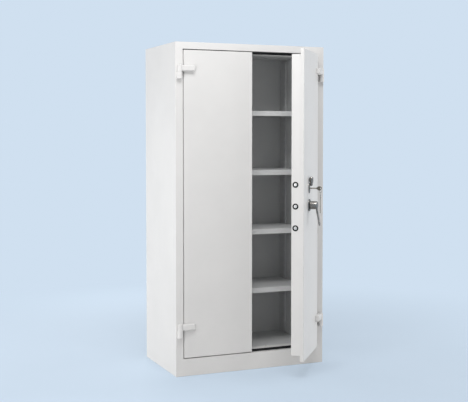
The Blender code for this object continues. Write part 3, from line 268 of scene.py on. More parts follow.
def mesh_of(shape):
    bmesh.ops.recalc_face_normals(shape, faces=shape.faces)
    mesh = bpy.data.meshes.new("shape")
    shape.to_mesh(mesh)
    shape.free()
    return mesh


def lofted(loops, ring=False):
    """Skin over loops of equal length, capped at both ends or closed on itself as a ring."""
    shape = bmesh.new()
    rows = [[shape.verts.new(point) for point in loop] for loop in loops]
    pairs = list(zip(rows, rows[1:]))
    if ring:
        pairs.append((rows[-1], rows[0]))
    else:
        shape.faces.new(rows[0][::-1])
        shape.faces.new(rows[-1])
    for low, high in pairs:
        for index in range(len(low)):
            shape.faces.new((low[index - 1], low[index], high[index], high[index - 1]))
    return mesh_of(shape)


def eased(corners, radius, steps=4):
    """Open line through the corners, each inner corner rounded off."""
    points = [Vector(corner) for corner in corners]
    line = [points[0]]
    for before, corner, after in zip(points, points[1:], points[2:]):
        back = before - corner
        ahead = after - corner
        start = corner + back.normalized() * min(radius, back.length / 2)
        stop = corner + ahead.normalized() * min(radius, ahead.length / 2)
        for step in range(steps + 1):
            share = step / steps
            line.append(start.lerp(corner, share).lerp(corner.lerp(stop, share), share))
    line.append(points[-1])
    return line


def ring_points(radius, far, sides=ROUND):
    points = []
    for step in range(sides):
        angle = 2 * math.pi * step / sides
        points.append(Vector((radius * math.cos(angle), radius * math.sin(angle), far)))
    return points


def turned(profile, sides=ROUND, ring=False):
    """Turned piece about Z from points of (distance along it, radius)."""
    return lofted([ring_points(radius, far, sides) for far, radius in profile], ring)


def plate(outline, thickness, edge, steps=3):
    """Flat plate, from z 0 up, with its rims rounded by edge. The outline goes round anticlockwise."""
    count = len(outline)
    normals = []
    for index in range(count):
        along = Vector(outline[(index + 1) % count]) - Vector(outline[index - 1])
        normals.append(Vector((along.y, -along.x)).normalized())
    rims = []
    for step in range(steps + 1):
        angle = math.pi / 2 * step / steps
        rims.append((edge * (1 - math.sin(angle)), edge * (1 - math.cos(angle))))
    levels = rims + [(inset, thickness - height) for inset, height in reversed(rims)]
    loops = []
    for inset, height in levels:
        loop = []
        for point, normal in zip(outline, normals):
            inner = Vector(point) - inset * normal
            loop.append(Vector((inner.x, inner.y, height)))
        loops.append(loop)
    return lofted(loops)


def ellipse(half_width, half_height, sides=ROUND):
    points = []
    for step in range(sides):
        angle = 2 * math.pi * step / sides
        points.append((half_width * math.cos(angle), half_height * math.sin(angle)))
    return points


def block(low, high):
    corners = [(low[0], low[1]), (high[0], low[1]), (high[0], high[1]), (low[0], high[1])]
    return lofted([[Vector((x, y, z)) for x, y in corners] for z in (low[2], high[2])])


def moved(mesh, place):
    mesh.transform(place)
    if place.determinant() < 0:
        mesh.flip_normals()
    return mesh


def gathered(meshes):
    """One mesh holding several that stand apart."""
    shape = bmesh.new()
    for mesh in meshes:
        shape.from_mesh(mesh)
        bpy.data.meshes.remove(mesh)
    return mesh_of(shape)


def combined(mesh, other, operation):
    """Solid of two meshes, by an exact union or difference."""
    target = bpy.data.objects.new("target", mesh)
    tool = bpy.data.objects.new("tool", other)
    for thing in (target, tool):
        bpy.context.scene.collection.objects.link(thing)
    change = target.modifiers.new("change", "BOOLEAN")
    change.operation = operation
    change.solver = "EXACT"
    change.object = tool
    graph = bpy.context.evaluated_depsgraph_get()
    made = bpy.data.meshes.new_from_object(target.evaluated_get(graph))
    for thing in (target, tool):
        bpy.data.objects.remove(thing)
    bpy.data.meshes.remove(mesh)
    bpy.data.meshes.remove(other)
    return made


def fused(first, *others):
    for other in others:
        first = combined(first, other, "UNION")
    return first


def carved(mesh, *tools):
    for tool in tools:
        mesh = combined(mesh, tool, "DIFFERENCE")
    return mesh


def through(rows, steps):
    """Smooth run of rows through the given ones."""
    run = []
    last = len(rows) - 1
    for index in range(last):
        p0, p1 = rows[max(index - 1, 0)], rows[index]
        p2, p3 = rows[index + 1], rows[min(index + 2, last)]
        for step in range(steps):
            t = step / steps
            row = []
            for a, b, c, d in zip(p0, p1, p2, p3):
                bend = (c - a) * t + (2 * a - 5 * b + 4 * c - d) * t**2 + (3 * b - a - 3 * c + d) * t**3
                row.append(b + bend / 2)
            run.append(row)
    run.append(list(rows[last]))
    return run


def tube(points, radius, sides=14):
    """Round bar along points, capped at both ends."""
    loops = []
    across = None
    last = len(points) - 1
    for index, point in enumerate(points):
        along = (points[min(index + 1, last)] - points[max(index - 1, 0)]).normalized()
        if across is None:
            across = along.orthogonal().normalized()
        across = (across - along * across.dot(along)).normalized()
        over = along.cross(across)
        loop = []
        for step in range(sides):
            angle = 2 * math.pi * step / sides
            loop.append(point + radius * (math.cos(angle) * across + math.sin(angle) * over))
        loops.append(loop)
    return lofted(loops)


def add_piece(name, mesh, body, slot, replaced=(), place=None, edge=0.0, finish=None):
    """Piece of the visual model that rides on a body and may stand for CAD nodes."""
    if place is not None:
        moved(mesh, place)
    mesh.name = name
    mesh.materials.clear()
    mesh.materials.append(finishes[finish or slot])
    mesh.shade_smooth()
    made = bpy.data.objects.new(name, mesh)
    bpy.context.scene.collection.objects.link(made)
    if edge:
        easing = made.modifiers.new("eased edges", "BEVEL")
        easing.width = edge
        easing.segments = EDGE_STEPS
        easing.limit_method = "ANGLE"
        easing.angle_limit = CREASE
        easing.miter_outer = "MITER_ARC"
    else:
        mesh.set_sharp_from_angle(angle=CREASE)
    shading = made.modifiers.new("even shading", "WEIGHTED_NORMAL")
    shading.keep_sharp = True
    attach(made, body)
    if replaced:
        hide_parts(*replaced)
    return made


def soft_edged(name, edge):
    """The part's own solid with its edges eased."""
    shape = bmesh.new()
    shape.from_mesh(nodes[name].data)
    bmesh.ops.remove_doubles(shape, verts=shape.verts, dist=MERGED)
    bmesh.ops.dissolve_limit(shape, angle_limit=FLAT, verts=shape.verts, edges=shape.edges)
    points = [vertex.co.copy() for vertex in shape.verts]
    shape.verts.index_update()
    faces = [[vertex.index for vertex in face.verts] for face in shape.faces]
    shape.free()
    mesh = bpy.data.meshes.new(name)
    mesh.from_pydata(points, [], faces)
    return add_piece("fine_" + name, mesh, body_of[name], slot_of[name], (name,), edge=edge)


# Cabinet, doors and hinges: the part's solids with eased edges

EASED = {
    "outer_shell": 0.8 * MM,
    "back_panel": 0.6 * MM,
    "inner_liner": 0.7 * MM,
    "left_door_skin": 0.6 * MM,
    "left_door_liner": 0.5 * MM,
    "right_door_skin": 0.6 * MM,
    "right_door_liner": 0.5 * MM,
    "strike_plate": 0.4 * MM,
}
EASED_BY_KIND = {
    "shelf_": 0.5 * MM,
    "rail_": 0.3 * MM,
    "bracket_": 0.3 * MM,
    "hinge_base_": 1.2 * MM,
    "hinge_arm_": 1.2 * MM,
}

for name in nodes:
    for kind, edge in EASED_BY_KIND.items():
        if name.startswith(kind):
            EASED[name] = edge
for name, edge in EASED.items():
    soft_edged(name, edge)


# Seal round the opening, with three rounded ribs and grooves between them

SEAL_WIDTH = 16 * MM
SEAL_SAMPLES = 28
SEAL_RIBS = 3
SEAL_BED = 0.45  # share of the height under the ribs
RIB_POWER = 0.5  # 1 is a sine, less is fuller

seal_low, seal_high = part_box("frame_seal")
seal_depth = seal_high.y - seal_low.y


def seal_loop(inset, y):
    return [
        Vector((seal_low.x + inset, y, seal_low.z + inset)),
        Vector((seal_high.x - inset, y, seal_low.z + inset)),
        Vector((seal_high.x - inset, y, seal_high.z - inset)),
        Vector((seal_low.x + inset, y, seal_high.z - inset)),
    ]


seal_loops = [seal_loop(0, seal_high.y)]
for sample in range(SEAL_SAMPLES + 1):
    share = sample / SEAL_SAMPLES
    rib = abs(math.sin(math.pi * SEAL_RIBS * share)) ** RIB_POWER
    height = SEAL_BED + (1 - SEAL_BED) * rib
    seal_loops.append(seal_loop(SEAL_WIDTH * share, seal_high.y - seal_depth * height))
seal_loops.append(seal_loop(SEAL_WIDTH, seal_high.y))
add_piece("fine_frame_seal", lofted(seal_loops, ring=True), "cabinet", "seal", ("frame_seal",))


# Handle on the right door: rose, hub and lever

ROSE_EDGE = 1.6 * MM
ROSE_RIM = 2.2 * MM
ROSE_SLOPE = 4 * MM
ROSE_GROOVE = 0.5 * MM
GROOVE_RIM = 3 * MM  # from the hub to the rim of the groove round it
GROOVE_FOOT = 2.4 * MM
HUB_RADIUS = 23 * MM
HUB_LENGTH = 50 * MM
HUB_FOOT = 1.2 * MM
HUB_FOOT_HEIGHT = 1.5 * MM
HUB_CHAMFER = 4 * MM
HUB_END_FLAT = 9 * MM  # from the hub's side to the innermost point of its line
HUB_EDGE = 2.4 * MM
HUB_EDGE_STEPS = 6
SPINDLE_RADIUS = 7 * MM
SPINDLE_HOLE = 30.3 * MM
SPINDLE_SIDES = 24

rose_low, rose_high = extent("handle_rose", RIGHT_DOOR)
rose_radius = (rose_high.x - rose_low.x) / 2
rose_start = -rose_high.y
rose_top = -rose_low.y
rose_bore = SPINDLE_RADIUS + GAP
rose_line = eased(
    (
        (rose_start, rose_bore),
        (rose_start, rose_radius),
        (rose_start + ROSE_RIM, rose_radius),
        (rose_top, rose_radius - ROSE_SLOPE),
        (rose_top, HUB_RADIUS + GROOVE_RIM),
        (rose_top - ROSE_GROOVE, HUB_RADIUS + GROOVE_FOOT),
        (rose_top - ROSE_GROOVE, rose_bore),
    ),
    ROSE_EDGE,
)
add_piece(
    "fine_handle_rose",
    turned(rose_line, ring=True),
    "right_door",
    "chrome",
    ("handle_rose",),
    RIGHT_DOOR @ FACING_OUT,
)

# Lever stations: height from the axis, width, thickness, distance of the middle past the hub's end
LEVER = (
    (18 * MM, 10 * MM, 3.5 * MM, -4.6 * MM),
    (17 * MM, 16 * MM, 5.5 * MM, -4.8 * MM),
    (13 * MM, 24 * MM, 8.2 * MM, -4.8 * MM),
    (0 * MM, 29 * MM, 9.5 * MM, -4.5 * MM),
    (-30 * MM, 25 * MM, 10 * MM, -3 * MM),
    (-70 * MM, 21 * MM, 10 * MM, 4.5 * MM),
    (-106 * MM, 19 * MM, 9.6 * MM, 10.7 * MM),
    (-114 * MM, 16.5 * MM, 7 * MM, 12.0 * MM),
    (-117.5 * MM, 12.5 * MM, 5 * MM, 12.5 * MM),
    (-119 * MM, 7 * MM, 2.6 * MM, 12.7 * MM),
)
LEVER_STEPS = 5
LEVER_POINTS = 40
LEVER_SQUARE = 0.62  # power of the sections: 1 is an ellipse, less is squarer


def squared(value):
    return math.copysign(abs(value) ** LEVER_SQUARE, value)


lever_loops = []
for height, width, thickness, past in through(LEVER, LEVER_STEPS):
    loop = []
    for step in range(LEVER_POINTS):
        angle = 2 * math.pi * step / LEVER_POINTS
        out = HUB_LENGTH + past + thickness / 2 * squared(math.sin(angle))
        loop.append(Vector((width / 2 * squared(math.cos(angle)), height, out)))
    lever_loops.append(loop)
hub_line = eased(
    (
        (rose_top + GAP, HUB_RADIUS - HUB_FOOT),
        (rose_top + HUB_FOOT_HEIGHT, HUB_RADIUS),
        (HUB_LENGTH - HUB_CHAMFER, HUB_RADIUS),
        (HUB_LENGTH, HUB_RADIUS - HUB_CHAMFER),
        (HUB_LENGTH, HUB_RADIUS - HUB_END_FLAT),
    ),
    HUB_EDGE,
    HUB_EDGE_STEPS,
)
spindle_hole = turned(((0, rose_bore), (SPINDLE_HOLE, rose_bore)), SPINDLE_SIDES)
handle = carved(fused(turned(hub_line), lofted(lever_loops)), spindle_hole)
add_piece("fine_handle", handle, "handle", "chrome", ("handle",), RIGHT_DOOR @ FACING_OUT)


# Keyhole plate with the stud of its cover

PLATE_THICKNESS = 3 * MM
PLATE_EDGE = 1.0 * MM
KEY_RADIUS = 4 * MM
KEYHOLE_RADIUS = KEY_RADIUS + 0.5 * MM
SLIT_HALF_WIDTH = 1.9 * MM
SLIT_HALF_HEIGHT = 11 * MM
CUT_START = -2 * MM  # cutters reach from under the plate to above it
CUT_END = 8 * MM
STUD_RADIUS = 2.5 * MM
STUD_COLLAR = 4 * MM
STUD_PLAY = 0.2 * MM
STUD_EDGE = 0.7 * MM
STUD_HEAD = ((0.0, 4.0 * MM), (0.8 * MM, 3.8 * MM), (1.6 * MM, 2.2 * MM))  # height, radius
EYE_HALF = 4 * MM  # half the thickness of the cover where the stud goes through it

key_height = (joint_point("key_turn") - joint_point("handle_turn")).z
pivot_height = (joint_point("keyhole_cover_swing") - joint_point("key_turn")).z
KEY_FACE = RIGHT_DOOR @ shifted(z=key_height)
plate_high = extent("keyhole_plate", KEY_FACE)[1]
cover_low, cover_high = extent("keyhole_cover", KEY_FACE)
cover_axis = -(cover_low.y + cover_high.y) / 2
head_start = cover_axis + EYE_HALF + STUD_PLAY
collar_end = cover_axis - EYE_HALF - STUD_PLAY

escutcheon = plate(ellipse(plate_high.x, plate_high.z), PLATE_THICKNESS, PLATE_EDGE)
moved(escutcheon, shifted(z=-plate_high.y))
bore = turned(((CUT_START, KEYHOLE_RADIUS), (CUT_END, KEYHOLE_RADIUS)), SMALL_ROUND)
slit = block(
    (-SLIT_HALF_WIDTH, -SLIT_HALF_HEIGHT, CUT_START), (SLIT_HALF_WIDTH, SLIT_HALF_HEIGHT, CUT_END)
)
stud_line = [
    (PLATE_THICKNESS / 2, STUD_COLLAR),
    (collar_end, STUD_COLLAR),
    (collar_end, STUD_RADIUS),
    (head_start, STUD_RADIUS),
]
for height, radius in STUD_HEAD:
    stud_line.append((head_start + height, radius))
stud = moved(turned(eased(stud_line, STUD_EDGE), SMALL_ROUND), shifted(y=pivot_height))
add_piece(
    "fine_keyhole_plate",
    fused(carved(escutcheon, bore, slit), stud),
    "right_door",
    "chrome",
    ("keyhole_plate",),
    KEY_FACE @ FACING_OUT,
)


# Cover, a turned drop that stands on its narrow end: distance from the stud, radius

COVER = (
    (-5.0 * MM, 0.0),
    (-4.4 * MM, 2.3 * MM),
    (-2.8 * MM, 4.2 * MM),
    (0.0, 5.7 * MM),
    (5.0 * MM, 7.7 * MM),
    (12.0 * MM, 9.5 * MM),
    (20.0 * MM, 11.1 * MM),
    (28.0 * MM, 12.3 * MM),
    (34.0 * MM, 12.5 * MM),
    (39.5 * MM, 11.9 * MM),
    (43.8 * MM, 10.1 * MM),
    (46.8 * MM, 7.2 * MM),
    (48.3 * MM, 3.8 * MM),
    (48.8 * MM, 0.0),
)
COVER_STEPS = 5
STUD_HOLE = STUD_RADIUS + GAP
EYE_FLAT = 4.6 * MM  # radius of the flats round the stud

cover = moved(turned(through(COVER, COVER_STEPS)[1:-1]), shifted(y=-cover_axis))
eye_cuts = (
    (0, 2 * cover_axis, STUD_HOLE),
    (0, cover_axis - EYE_HALF, EYE_FLAT),
    (cover_axis + EYE_HALF, 2 * cover_axis, EYE_FLAT),
)
for start, stop, radius in eye_cuts:
    cut = turned(((start, radius), (stop, radius)), SMALL_ROUND)
    cover = carved(cover, moved(cut, FACING_OUT))
add_piece(
    "fine_keyhole_cover",
    cover,
    "keyhole_cover",
    "chrome",
    ("keyhole_cover",),
    KEY_FACE @ shifted(z=pivot_height),
)


# Key in the lock

BOW_LENGTH = 28 * MM
BOW_HALF_HEIGHT = 12.5 * MM
BOW_THICKNESS = 3 * MM
BOW_EDGE = 0.7 * MM
BOW_SIDES = 56
BOW_HOLE = 4 * MM
BOW_HOLE_FROM_END = 7.2 * MM
BOW_CUT = 5 * MM
SHAFT_TIP = 0.8 * MM
SHAFT_EDGE = 0.5 * MM
SHAFT_EDGE_STEPS = 3
SHAFT_IN_BOW = 6 * MM
SHAFT_TAPER = 0.7
COLLAR_RISE = 1.2 * MM
COLLAR_START = 4 * MM  # back from the bow
COLLAR_STOP = 1 * MM
BIT_INSET = 0.3 * MM
BIT_LENGTH = 9 * MM
BIT_THICKNESS = 2.8 * MM
NOTCHES = ((2.2 * MM, 2.6 * MM), (5.6 * MM, 1.7 * MM))  # distance along the bit, depth
NOTCH_WIDTH = 1.3 * MM
NOTCH_CUT = 3 * MM


def key_shape(reach, tail, half_bit, shaft_radius):
    """Key along X, its bow ending at reach and its bit at -tail, flat in XY."""
    bow_start = reach - BOW_LENGTH
    shaft_line = (
        (-tail, shaft_radius - SHAFT_TIP),
        (-tail + SHAFT_TIP, shaft_radius),
        (bow_start - COLLAR_START, shaft_radius),
        (bow_start - COLLAR_START, shaft_radius + COLLAR_RISE),
        (bow_start - COLLAR_STOP, shaft_radius + COLLAR_RISE),
        (bow_start - COLLAR_STOP, shaft_radius),
        (bow_start + SHAFT_IN_BOW, shaft_radius * SHAFT_TAPER),
    )
    shaft = turned(eased(shaft_line, SHAFT_EDGE, SHAFT_EDGE_STEPS), BAR_SIDES)
    moved(shaft, Matrix.Rotation(math.pi / 2, 4, "Y"))
    bow = plate(ellipse(BOW_LENGTH / 2, BOW_HALF_HEIGHT, BOW_SIDES), BOW_THICKNESS, BOW_EDGE)
    moved(bow, shifted(reach - BOW_LENGTH / 2, 0, -BOW_THICKNESS / 2))
    hole = turned(((-BOW_CUT, BOW_HOLE), (BOW_CUT, BOW_HOLE)), SMALL_ROUND)
    moved(hole, shifted(reach - BOW_HOLE_FROM_END))
    bit_start = -tail + BIT_INSET
    bit = block(
        (bit_start, -half_bit, -BIT_THICKNESS / 2),
        (bit_start + BIT_LENGTH, half_bit, BIT_THICKNESS / 2),
    )
    notches = []
    for side in (-1, 1):
        for at, deep in NOTCHES:
            low, high = sorted((side * (half_bit - deep), side * (half_bit + MM)))
            start = bit_start + at
            notches.append(block((start, low, -NOTCH_CUT), (start + NOTCH_WIDTH, high, NOTCH_CUT)))
    bit = carved(bit, gathered(notches))
    return carved(fused(shaft, bow, bit), hole)


def darken_bow(made, dark):
    """Gives the listed faces of a key the finish of a dark bow."""
    made.data.materials.append(finishes["key_bow"])
    for index in dark:
        made.data.polygons[index].material_index = 1


key_low, key_high = extent("key", KEY_FACE)
key_reach = -key_low.y
key = key_shape(key_reach, key_high.y, key_high.z, KEY_RADIUS)
bow_faces = [face.index for face in key.polygons if face.center.x > key_reach - BOW_LENGTH]
fine_key = add_piece("fine_key", key, "key", "steel", ("key",), KEY_FACE @ SIDEWAYS, finish="key_steel")
darken_bow(fine_key, bow_faces)


# Spare key on a split ring through the bow of the key in the lock

WIRE = 0.8 * MM
RING_RADIUS = 12 * MM
RING_TURNS = 1.9
RING_STEPS = 120
RING_START = 0.7  # angle of the wire's first end
RING_PITCH = 2.1  # from turn to turn, in radii of the wire
RING_PLAY = 0.2 * MM
RING_SLANT = math.radians(45)  # about the upright, from the door
SPARE_LENGTH = 119 * MM
SPARE_RADIUS = 2.6 * MM
SPARE_HALF_BIT = 9.5 * MM
SPARE_SLANT = math.radians(6)
# Drawn flat, hangs by its end
HANGING = Matrix(((0, 1, 0, 0), (0, 0, 1, 0), (1, 0, 0, 0), (0, 0, 0, 1)))

coil = []
for step in range(RING_STEPS + 1):
    share = step / RING_STEPS
    angle = 2 * math.pi * RING_TURNS * share + RING_START
    along = (share - 0.5) * RING_PITCH * WIRE * RING_TURNS
    coil.append(Vector((RING_RADIUS * math.sin(angle), along, RING_RADIUS * math.cos(angle))))
eye = key_reach - BOW_HOLE_FROM_END
sunk = BOW_HOLE - WIRE - RING_PLAY  # from the middle of a hole to the wire that lies in it
ring_at = KEY_FACE @ shifted(y=-eye, z=-sunk - RING_RADIUS)
ring_place = ring_at @ Matrix.Rotation(RING_SLANT, 4, "Z")
add_piece("key_ring", tube(coil, WIRE), "right_door", "steel", place=ring_place)
spare = key_shape(0, SPARE_LENGTH, SPARE_HALF_BIT, SPARE_RADIUS)
moved(spare, shifted(BOW_HOLE_FROM_END))
spare_at = ring_at @ shifted(z=-RING_RADIUS - sunk)
spare_place = spare_at @ Matrix.Rotation(SPARE_SLANT, 4, "Z") @ HANGING
add_piece("spare_key", spare, "right_door", "steel", place=spare_place, finish="key_steel")


# Bolts in their bushes, on the lock edge of the right door

BOLT_NECK = 7 * MM
BOLT_NECK_RADIUS = 5 * MM
BOLT_CHAMFER = 1.5 * MM
BOLT_END_FLAT = 3 * MM
BOLT_EDGE = 0.9 * MM
BUSH_FLANGE = 3 * MM
BUSH_FLANGE_DEPTH = 2 * MM
BUSH_RIM = 0.9 * MM
BUSH_SLOPE = 1.4 * MM
BUSH_MOUTH = 0.8 * MM
BUSH_EDGE = 0.7 * MM

for level in ("upper", "middle", "lower"):
    low, high = extent("bolt_" + level, RIGHT_DOOR)
    middle = (low + high) / 2
    radius = (high.z - low.z) / 2
    length = high.x - low.x
    at = RIGHT_DOOR @ shifted(low.x, middle.y, middle.z) @ FACING_EDGE
    bolt_line = eased(
        (
            (-length, BOLT_NECK_RADIUS),
            (-length + BOLT_NECK, BOLT_NECK_RADIUS),
            (-length + BOLT_NECK, radius),
            (-BOLT_CHAMFER, radius),
            (0, radius - BOLT_CHAMFER),
            (0, radius - BOLT_END_FLAT),
        ),
        BOLT_EDGE,
    )
    add_piece(f"fine_bolt_{level}", turned(bolt_line), "bolt_carriage", "steel", (f"bolt_{level}",), at)
    low, high = extent("bolt_bush_" + level, RIGHT_DOOR)
    rim = (high.z - low.z) / 2
    depth = high.x - low.x
    bore = radius + GAP
    bush_line = eased(
        (
            (-depth, bore),
            (-depth, rim - BUSH_FLANGE),
            (-BUSH_FLANGE_DEPTH, rim - BUSH_FLANGE),
            (-BUSH_FLANGE_DEPTH, rim),
            (-BUSH_RIM, rim),
            (0, rim - BUSH_SLOPE),
            (0, bore + BUSH_MOUTH),
            (-BUSH_MOUTH, bore),
        ),
        BUSH_EDGE,
    )
    name = f"bolt_bush_{level}"
    add_piece("fine_" + name, turned(bush_line, ring=True), "right_door", "dark_bush", (name,), at)


# Flush bolts of the left door, each a round bar with a turned knob

FLUSH_RADIUS = 6 * MM
FLUSH_FOOT = 0.6 * MM
FLUSH_TIP = 1.5 * MM
FLUSH_EDGE = 0.5 * MM
KNOB_FROM_END = 89.5 * MM
KNOB_EDGE = 0.8 * MM
KNOB_RADIUS = 7 * MM
KNOB_WAIST = 5.6 * MM
# Distance from the knob's end, radius
KNOB = (
    (9 * MM, KNOB_RADIUS),
    (7.5 * MM, KNOB_WAIST),
    (5 * MM, KNOB_WAIST),
    (3.6 * MM, KNOB_RADIUS),
    (1.2 * MM, KNOB_RADIUS),
    (0.0, 5.4 * MM),
    (0.0, 3 * MM),
)

for name, way in (("left_top_bolt", 1), ("left_bottom_bolt", -1)):
    low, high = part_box(name)
    length = high.z - low.z
    x = (low.x + high.x) / 2
    y = low.y + FLUSH_RADIUS
    bar_line = (
        (0, FLUSH_RADIUS - FLUSH_FOOT),
        (FLUSH_FOOT, FLUSH_RADIUS),
        (length - FLUSH_TIP, FLUSH_RADIUS),
        (length, FLUSH_RADIUS - FLUSH_TIP),
    )
    bar = turned(eased(bar_line, FLUSH_EDGE), BAR_SIDES)
    if way < 0:
        moved(bar, Matrix.Diagonal((1, 1, -1, 1)))
        moved(bar, shifted(z=length))
    moved(bar, shifted(x, y, low.z))
    reach = high.y - y
    knob_line = [(0, KNOB_RADIUS)]
    for back, radius in KNOB:
        knob_line.append((reach - back, radius))
    knob = moved(turned(eased(knob_line, KNOB_EDGE), BAR_SIDES), FACING_BACK)
    end = high.z if way > 0 else low.z
    moved(knob, shifted(x, y, end - way * KNOB_FROM_END))
    add_piece("fine_" + name, fused(bar, knob), body_of[name], "steel", (name,))


# Screws of the door liners and the strike plate

LINER_SCREW = (4.2 * MM, 1.6 * MM, 0.55 * MM)  # radius, rise, half the width of the recess
STRIKE_SCREW = (3.6 * MM, 0.7 * MM, 0.5 * MM)
SCREW_SIDES = 28
SCREW_SUNK = 0.4 * MM
DOME_STEPS = 8
DOME_POWER = 0.6
RECESS_REACH = 0.62  # share of the radius
RECESS_FLOOR = 0.35  # share of the rise
SCREW_ROWS = 6
SCREW_INSET = 16 * MM
STRIKE_INSET = 13 * MM
# Each head was left at its own angle
TURN_PER_ROW = 0.7
TURN_PER_METRE = 31


def screw(radius, rise, recess):
    """Domed head with a cross recess, from z 0 up."""
    line = [(-SCREW_SUNK, radius), (0, radius)]
    for step in range(1, DOME_STEPS):
        angle = math.pi / 2 * step / DOME_STEPS
        line.append((rise * math.sin(angle), radius * math.cos(angle) ** DOME_POWER))
    head = turned(line, SCREW_SIDES)
    reach = radius * RECESS_REACH
    arms = []
    for turn in (0, math.pi / 2):
        arm = block((-reach, -recess, rise * RECESS_FLOOR), (reach, recess, rise * 2))
        arms.append(moved(arm, Matrix.Rotation(turn, 4, "Z")))
    return carved(head, fused(*arms))


def copies(mesh, places):
    many = []
    for place in places:
        many.append(moved(mesh.copy(), place))
    bpy.data.meshes.remove(mesh)
    return gathered(many)


for side, place, body in (("left", Matrix.Identity(4), "left_door"), ("right", RIGHT_DOOR, "right_door")):
    low, high = extent(f"{side}_door_liner", place)
    spots = []
    for row in range(SCREW_ROWS):
        z = low.z + SCREW_INSET + (high.z - low.z - 2 * SCREW_INSET) * row / (SCREW_ROWS - 1)
        for x in (low.x + SCREW_INSET, high.x - SCREW_INSET):
            turn = Matrix.Rotation(TURN_PER_ROW * row + TURN_PER_METRE * x, 4, "Z")
            spots.append(place @ shifted(x, high.y, z) @ FACING_BACK @ turn)
    add_piece(f"{side}_door_screws", copies(screw(*LINER_SCREW), spots), body, "steel")

strike_low, strike_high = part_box("strike_plate")
strike_spots = []
for z in (strike_low.z + STRIKE_INSET, strike_high.z - STRIKE_INSET):
    at = shifted(strike_high.x, (strike_low.y + strike_high.y) / 2, z)
    strike_spots.append(at @ Matrix.Rotation(math.pi / 2, 4, "Y"))
add_piece("strike_screws", copies(screw(*STRIKE_SCREW), strike_spots), "left_door", "steel")


# Stitch welds along the seam of the back panel, painted over

WELD_LENGTH = 34 * MM
WELD_HALF = 1.7 * MM
WELD_RISE = 0.7 * MM
WELD_SUNK = 0.4 * MM
WELD_STEPS = 14
WELD_SIDES = 12
WELD_POWER = 0.4  # less makes blunter ends
SWELL_START = 0.06  # the bead's ends cut off the thin ends of a sine
SWELL_SPAN = 0.88
RIPPLE = 0.08
RIPPLE_RATE = 40
UPRIGHT_WELDS = 9
LEVEL_WELDS = 5


def weld_bead():
    loops = []
    for step in range(WELD_STEPS + 1):
        share = step / WELD_STEPS
        swell = math.sin(math.pi * (SWELL_START + SWELL_SPAN * share)) ** WELD_POWER
        swell *= 1 + RIPPLE * math.sin(RIPPLE_RATE * share)
        along = WELD_LENGTH * (share - 0.5)
        loop = []
        for turn in range(WELD_SIDES):
            angle = 2 * math.pi * turn / WELD_SIDES
            tall = WELD_RISE if math.sin(angle) > 0 else WELD_SUNK
            rise = tall * math.sin(angle)
            loop.append(Vector((along, WELD_HALF * swell * math.cos(angle), swell * rise)))
        loops.append(loop)
    return lofted(loops)


panel_low, panel_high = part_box("back_panel")
upright = Matrix.Rotation(math.pi / 2, 4, "Z")
weld_spots = []
for index in range(UPRIGHT_WELDS):
    z = panel_low.z + (panel_high.z - panel_low.z) * (index + 0.5) / UPRIGHT_WELDS
    for x in (panel_low.x, panel_high.x):
        weld_spots.append(shifted(x, panel_high.y, z) @ FACING_BACK @ upright)
for index in range(LEVEL_WELDS):
    x = panel_low.x + (panel_high.x - panel_low.x) * (index + 0.5) / LEVEL_WELDS
    for z in (panel_low.z, panel_high.z):
        weld_spots.append(shifted(x, panel_high.y, z) @ FACING_BACK)
add_piece("back_welds", copies(weld_bead(), weld_spots), "cabinet", "paint")


# Carried-over parts keep their solids and take the finish of their slot

for name, node in nodes.items():
    node.data.materials.clear()
    node.data.materials.append(finishes[slot_of[name]])


# Studio: backdrop and floor

BACKDROP = (0.63, 0.745, 0.871)
WORLD_FILL = 0.36
FLOOR_RADIUS = 14.0
FLOOR_THICKNESS = 20 * MM
FLOOR_SIDES = 96
FLOOR_SEEN = ((0.3, (0.60, 0.71, 0.83)), (0.7, (0.62, 0.73, 0.85)))  # tones that the camera sees
FLOOR_LIT = ((0.3, (0.76, 0.76, 0.76)), (0.7, (0.79, 0.79, 0.79)))  # tones that light bounces off
FLOOR_ROUGH = 0.85
FLOOR_GLOSS = 0.2
FADE_LEAST = 0.4  # share of plain backdrop colour under the object
FADE_START = 0.8
FADE_END = 3.2
MIX_A = 6  # colour sockets of a Mix node
MIX_B = 7
MIX_RESULT = 2


def backdrop_rays(tree):
    """1 for rays that should see the plain backdrop."""
    path = add_node(tree, "LightPath").outputs
    seen = add_node(tree, "Math", {0: path["Is Camera Ray"], 1: path["Is Glossy Ray"]}, operation="MAXIMUM")
    inputs = {0: seen.outputs["Value"], 1: path["Is Transmission Ray"]}
    return add_node(tree, "Math", inputs, operation="MAXIMUM").outputs["Value"]


def studio_world():
    """White fill light, behind a plain backdrop."""
    world = bpy.data.worlds.new("studio")
    world.use_nodes = True
    tree = world.node_tree
    tree.nodes.clear()
    fill = add_node(tree, "Background", {"Color": (1.0, 1.0, 1.0, 1), "Strength": WORLD_FILL})
    shown = add_node(tree, "Background", {"Color": (*BACKDROP, 1), "Strength": 1.0})
    mixed = add_node(tree, "MixShader", {0: backdrop_rays(tree), 1: fill.outputs[0], 2: shown.outputs[0]})
    add_node(tree, "OutputWorld", {"Surface": mixed.outputs[0]})
    return world


